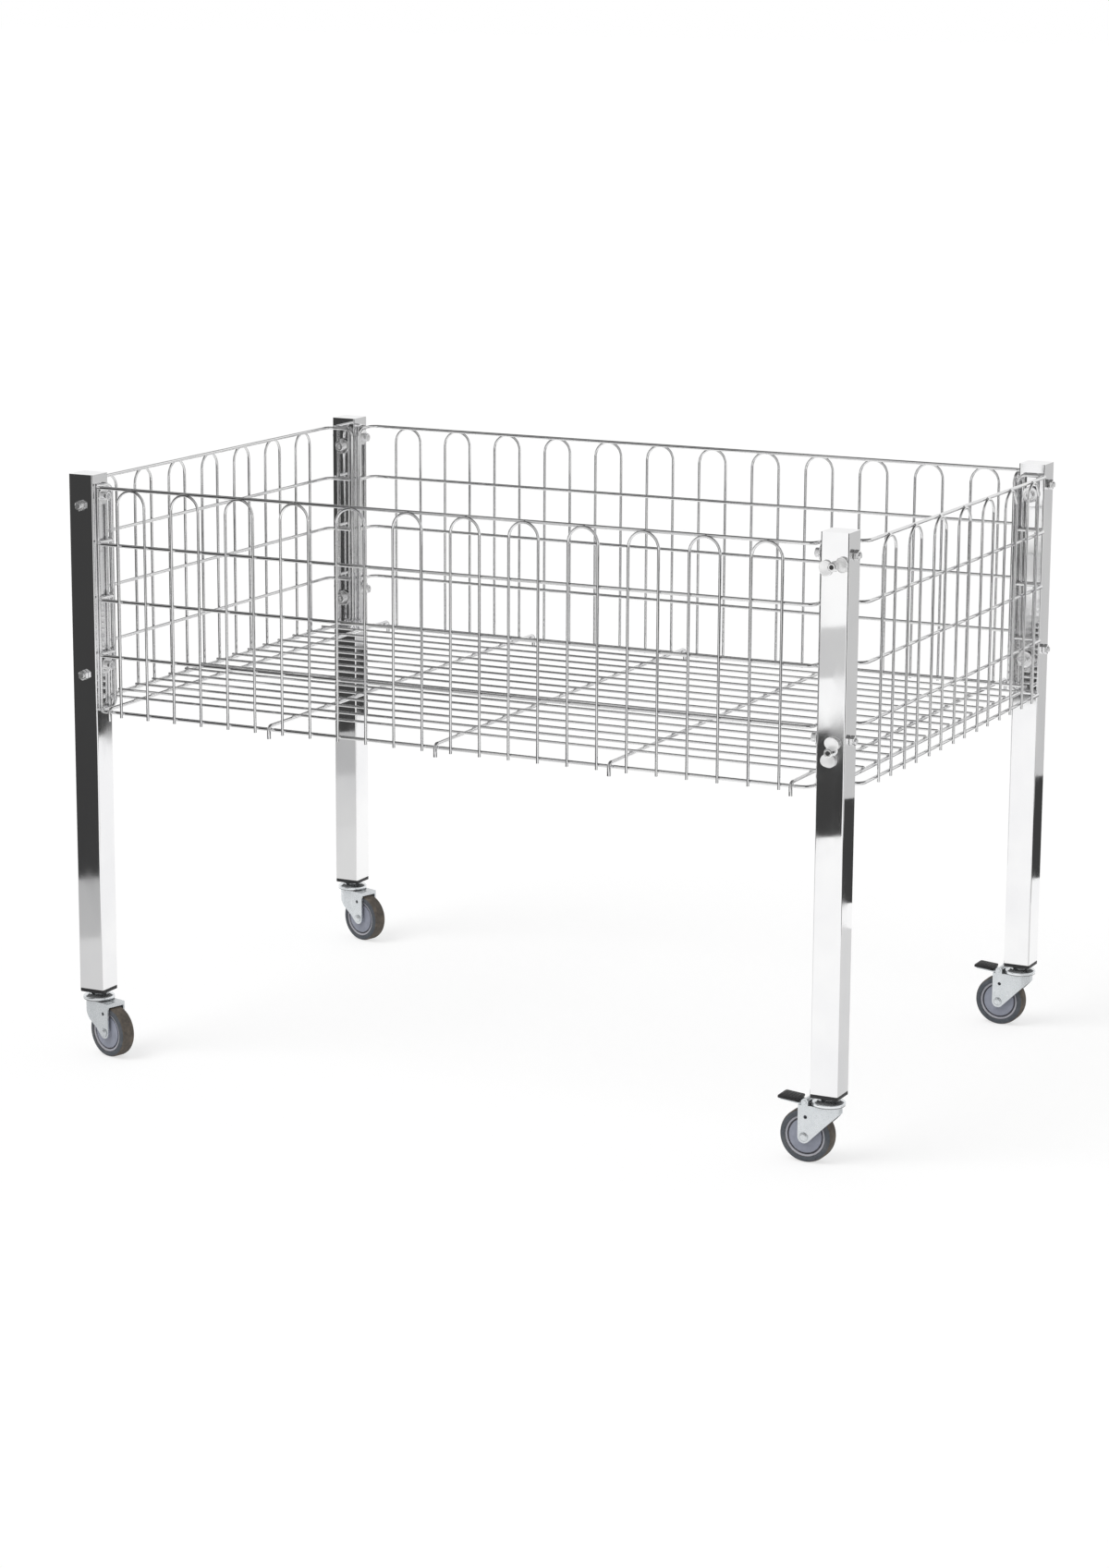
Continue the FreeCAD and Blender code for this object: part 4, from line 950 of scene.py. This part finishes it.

# Painted shade in reflections: gloss sees the sheet painted a little darker towards the bin and
# its dark edge, a painted shadow of the bin.
strip("sheet_shade_far", 0.50, TO_FRONT_LEFT, 1.35, 1.755, -2.0, 0.6)
strip("sheet_shade_middle", 0.67, TO_FRONT_LEFT, 0.9, 1.35, -2.0, 0.6)
strip("sheet_shade_near", 0.71, TO_FRONT_LEFT, 0.4, 0.9, -2.0, 0.6)
ground("sheet_shade_right", 0.70, [(0.62, -0.3), (1.9, -0.3), (1.2, 0.86), (0.85, 0.7)])

# Painted reflections: dark upright cards that only gloss sees; they cast no shadow and light
# nothing.
card("card_right", DARK, (0.95, -0.95), (1.75, -0.75), 0.48, 1.4)
card("card_front_left", DARK, (-2.2, -1.47), (-0.75, -1.47), 0.0, 2.2)


# ---------------------------------------------------------------- light and camera


SOFT_LIGHT, SUN_LIGHT = 0.62, 1.25
SUN_SIZE, SUN_TILT_X, SUN_TILT_Y = math.radians(35), math.radians(28), math.radians(-22)
# Painted reflections of a studio: greys that only gloss sees, by the sine of their height above
# the horizon.
FRONT_BANDS = [(0.0, 0.6), (0.75, 0.5), (0.9, 0.08), (1.0, 0.1)]
BACK_BANDS = [(0.0, 0.95), (0.44, 0.9), (0.56, 0.08), (1.0, 0.1)]
BAND_BLEND = 0.25


def light_world():
    """White to the camera, an even soft light on the bin, and painted reflections of a banded
    studio that only gloss sees.
    """
    world = bpy.data.worlds.new("studio")
    bpy.context.scene.world = world
    world.use_nodes = True
    tree = world.node_tree
    tree.nodes.clear()
    add, link = tree.nodes.new, tree.links.new
    path = add("ShaderNodeLightPath")
    seen = add("ShaderNodeBackground")
    seen.inputs["Color"].default_value = (1, 1, 1, 1)
    soft = add("ShaderNodeBackground")
    soft.inputs["Color"].default_value = (1, 1, 1, 1)
    soft.inputs["Strength"].default_value = SOFT_LIGHT
    mirrored = add("ShaderNodeBackground")
    split = add("ShaderNodeSeparateXYZ")
    link(add("ShaderNodeTexCoord").outputs["Generated"], split.inputs[0])

    def bands(stops):
        ramp = add("ShaderNodeValToRGB")
        link(split.outputs["Z"], ramp.inputs["Fac"])
        set_stops(ramp, stops)
        return ramp.outputs["Color"]

    side = add("ShaderNodeMapRange")
    side.inputs["From Min"].default_value = -BAND_BLEND
    side.inputs["From Max"].default_value = BAND_BLEND
    link(split.outputs["Y"], side.inputs["Value"])
    turn = add("ShaderNodeMix")
    turn.data_type = "RGBA"
    link(side.outputs["Result"], turn.inputs["Factor"])
    link(bands(FRONT_BANDS), turn.inputs["A"])
    link(bands(BACK_BANDS), turn.inputs["B"])
    link(turn.outputs["Result"], mirrored.inputs["Color"])
    first, second = add("ShaderNodeMixShader"), add("ShaderNodeMixShader")
    link(path.outputs["Is Glossy Ray"], first.inputs["Fac"])
    link(soft.outputs[0], first.inputs[1])
    link(mirrored.outputs[0], first.inputs[2])
    link(path.outputs["Is Camera Ray"], second.inputs["Fac"])
    link(first.outputs[0], second.inputs[1])
    link(seen.outputs[0], second.inputs[2])
    link(second.outputs[0], add("ShaderNodeOutputWorld").inputs["Surface"])


light_world()
sun = bpy.data.lights.new("soft_sun", "SUN")
sun.energy = SUN_LIGHT
sun.angle = SUN_SIZE
lamp = bpy.data.objects.new("soft_sun", sun)
lamp.rotation_euler = (SUN_TILT_X, SUN_TILT_Y, 0)
lamp.visible_glossy = False
bpy.context.scene.collection.objects.link(lamp)

# The camera that was fitted to the photograph: its place, and its turns in radians.
CAMERA_PLACE = (2.4243, -4.9375, 1.5967)
HEADING, DEPRESSION, ROLL = -0.4599, 0.2160, 0.00525
FOCAL_PIXELS, IMAGE_HEIGHT, SENSOR = 4123.5, 1697, 36.0

flat = math.cos(DEPRESSION)
forward = Vector((math.sin(HEADING) * flat, math.cos(HEADING) * flat, -math.sin(DEPRESSION)))
camera = bpy.data.cameras.new("camera")
camera.sensor_width = SENSOR
camera.lens = FOCAL_PIXELS / IMAGE_HEIGHT * SENSOR
camera.clip_end = 200
eye = bpy.data.objects.new("camera", camera)
eye.rotation_mode = "QUATERNION"
eye.rotation_quaternion = forward.to_track_quat("-Z", "Y") @ Quaternion((0, 0, 1), ROLL)
eye.location = CAMERA_PLACE
bpy.context.scene.collection.objects.link(eye)
bpy.context.scene.camera = eye
bpy.context.scene.view_settings.view_transform = "Standard"
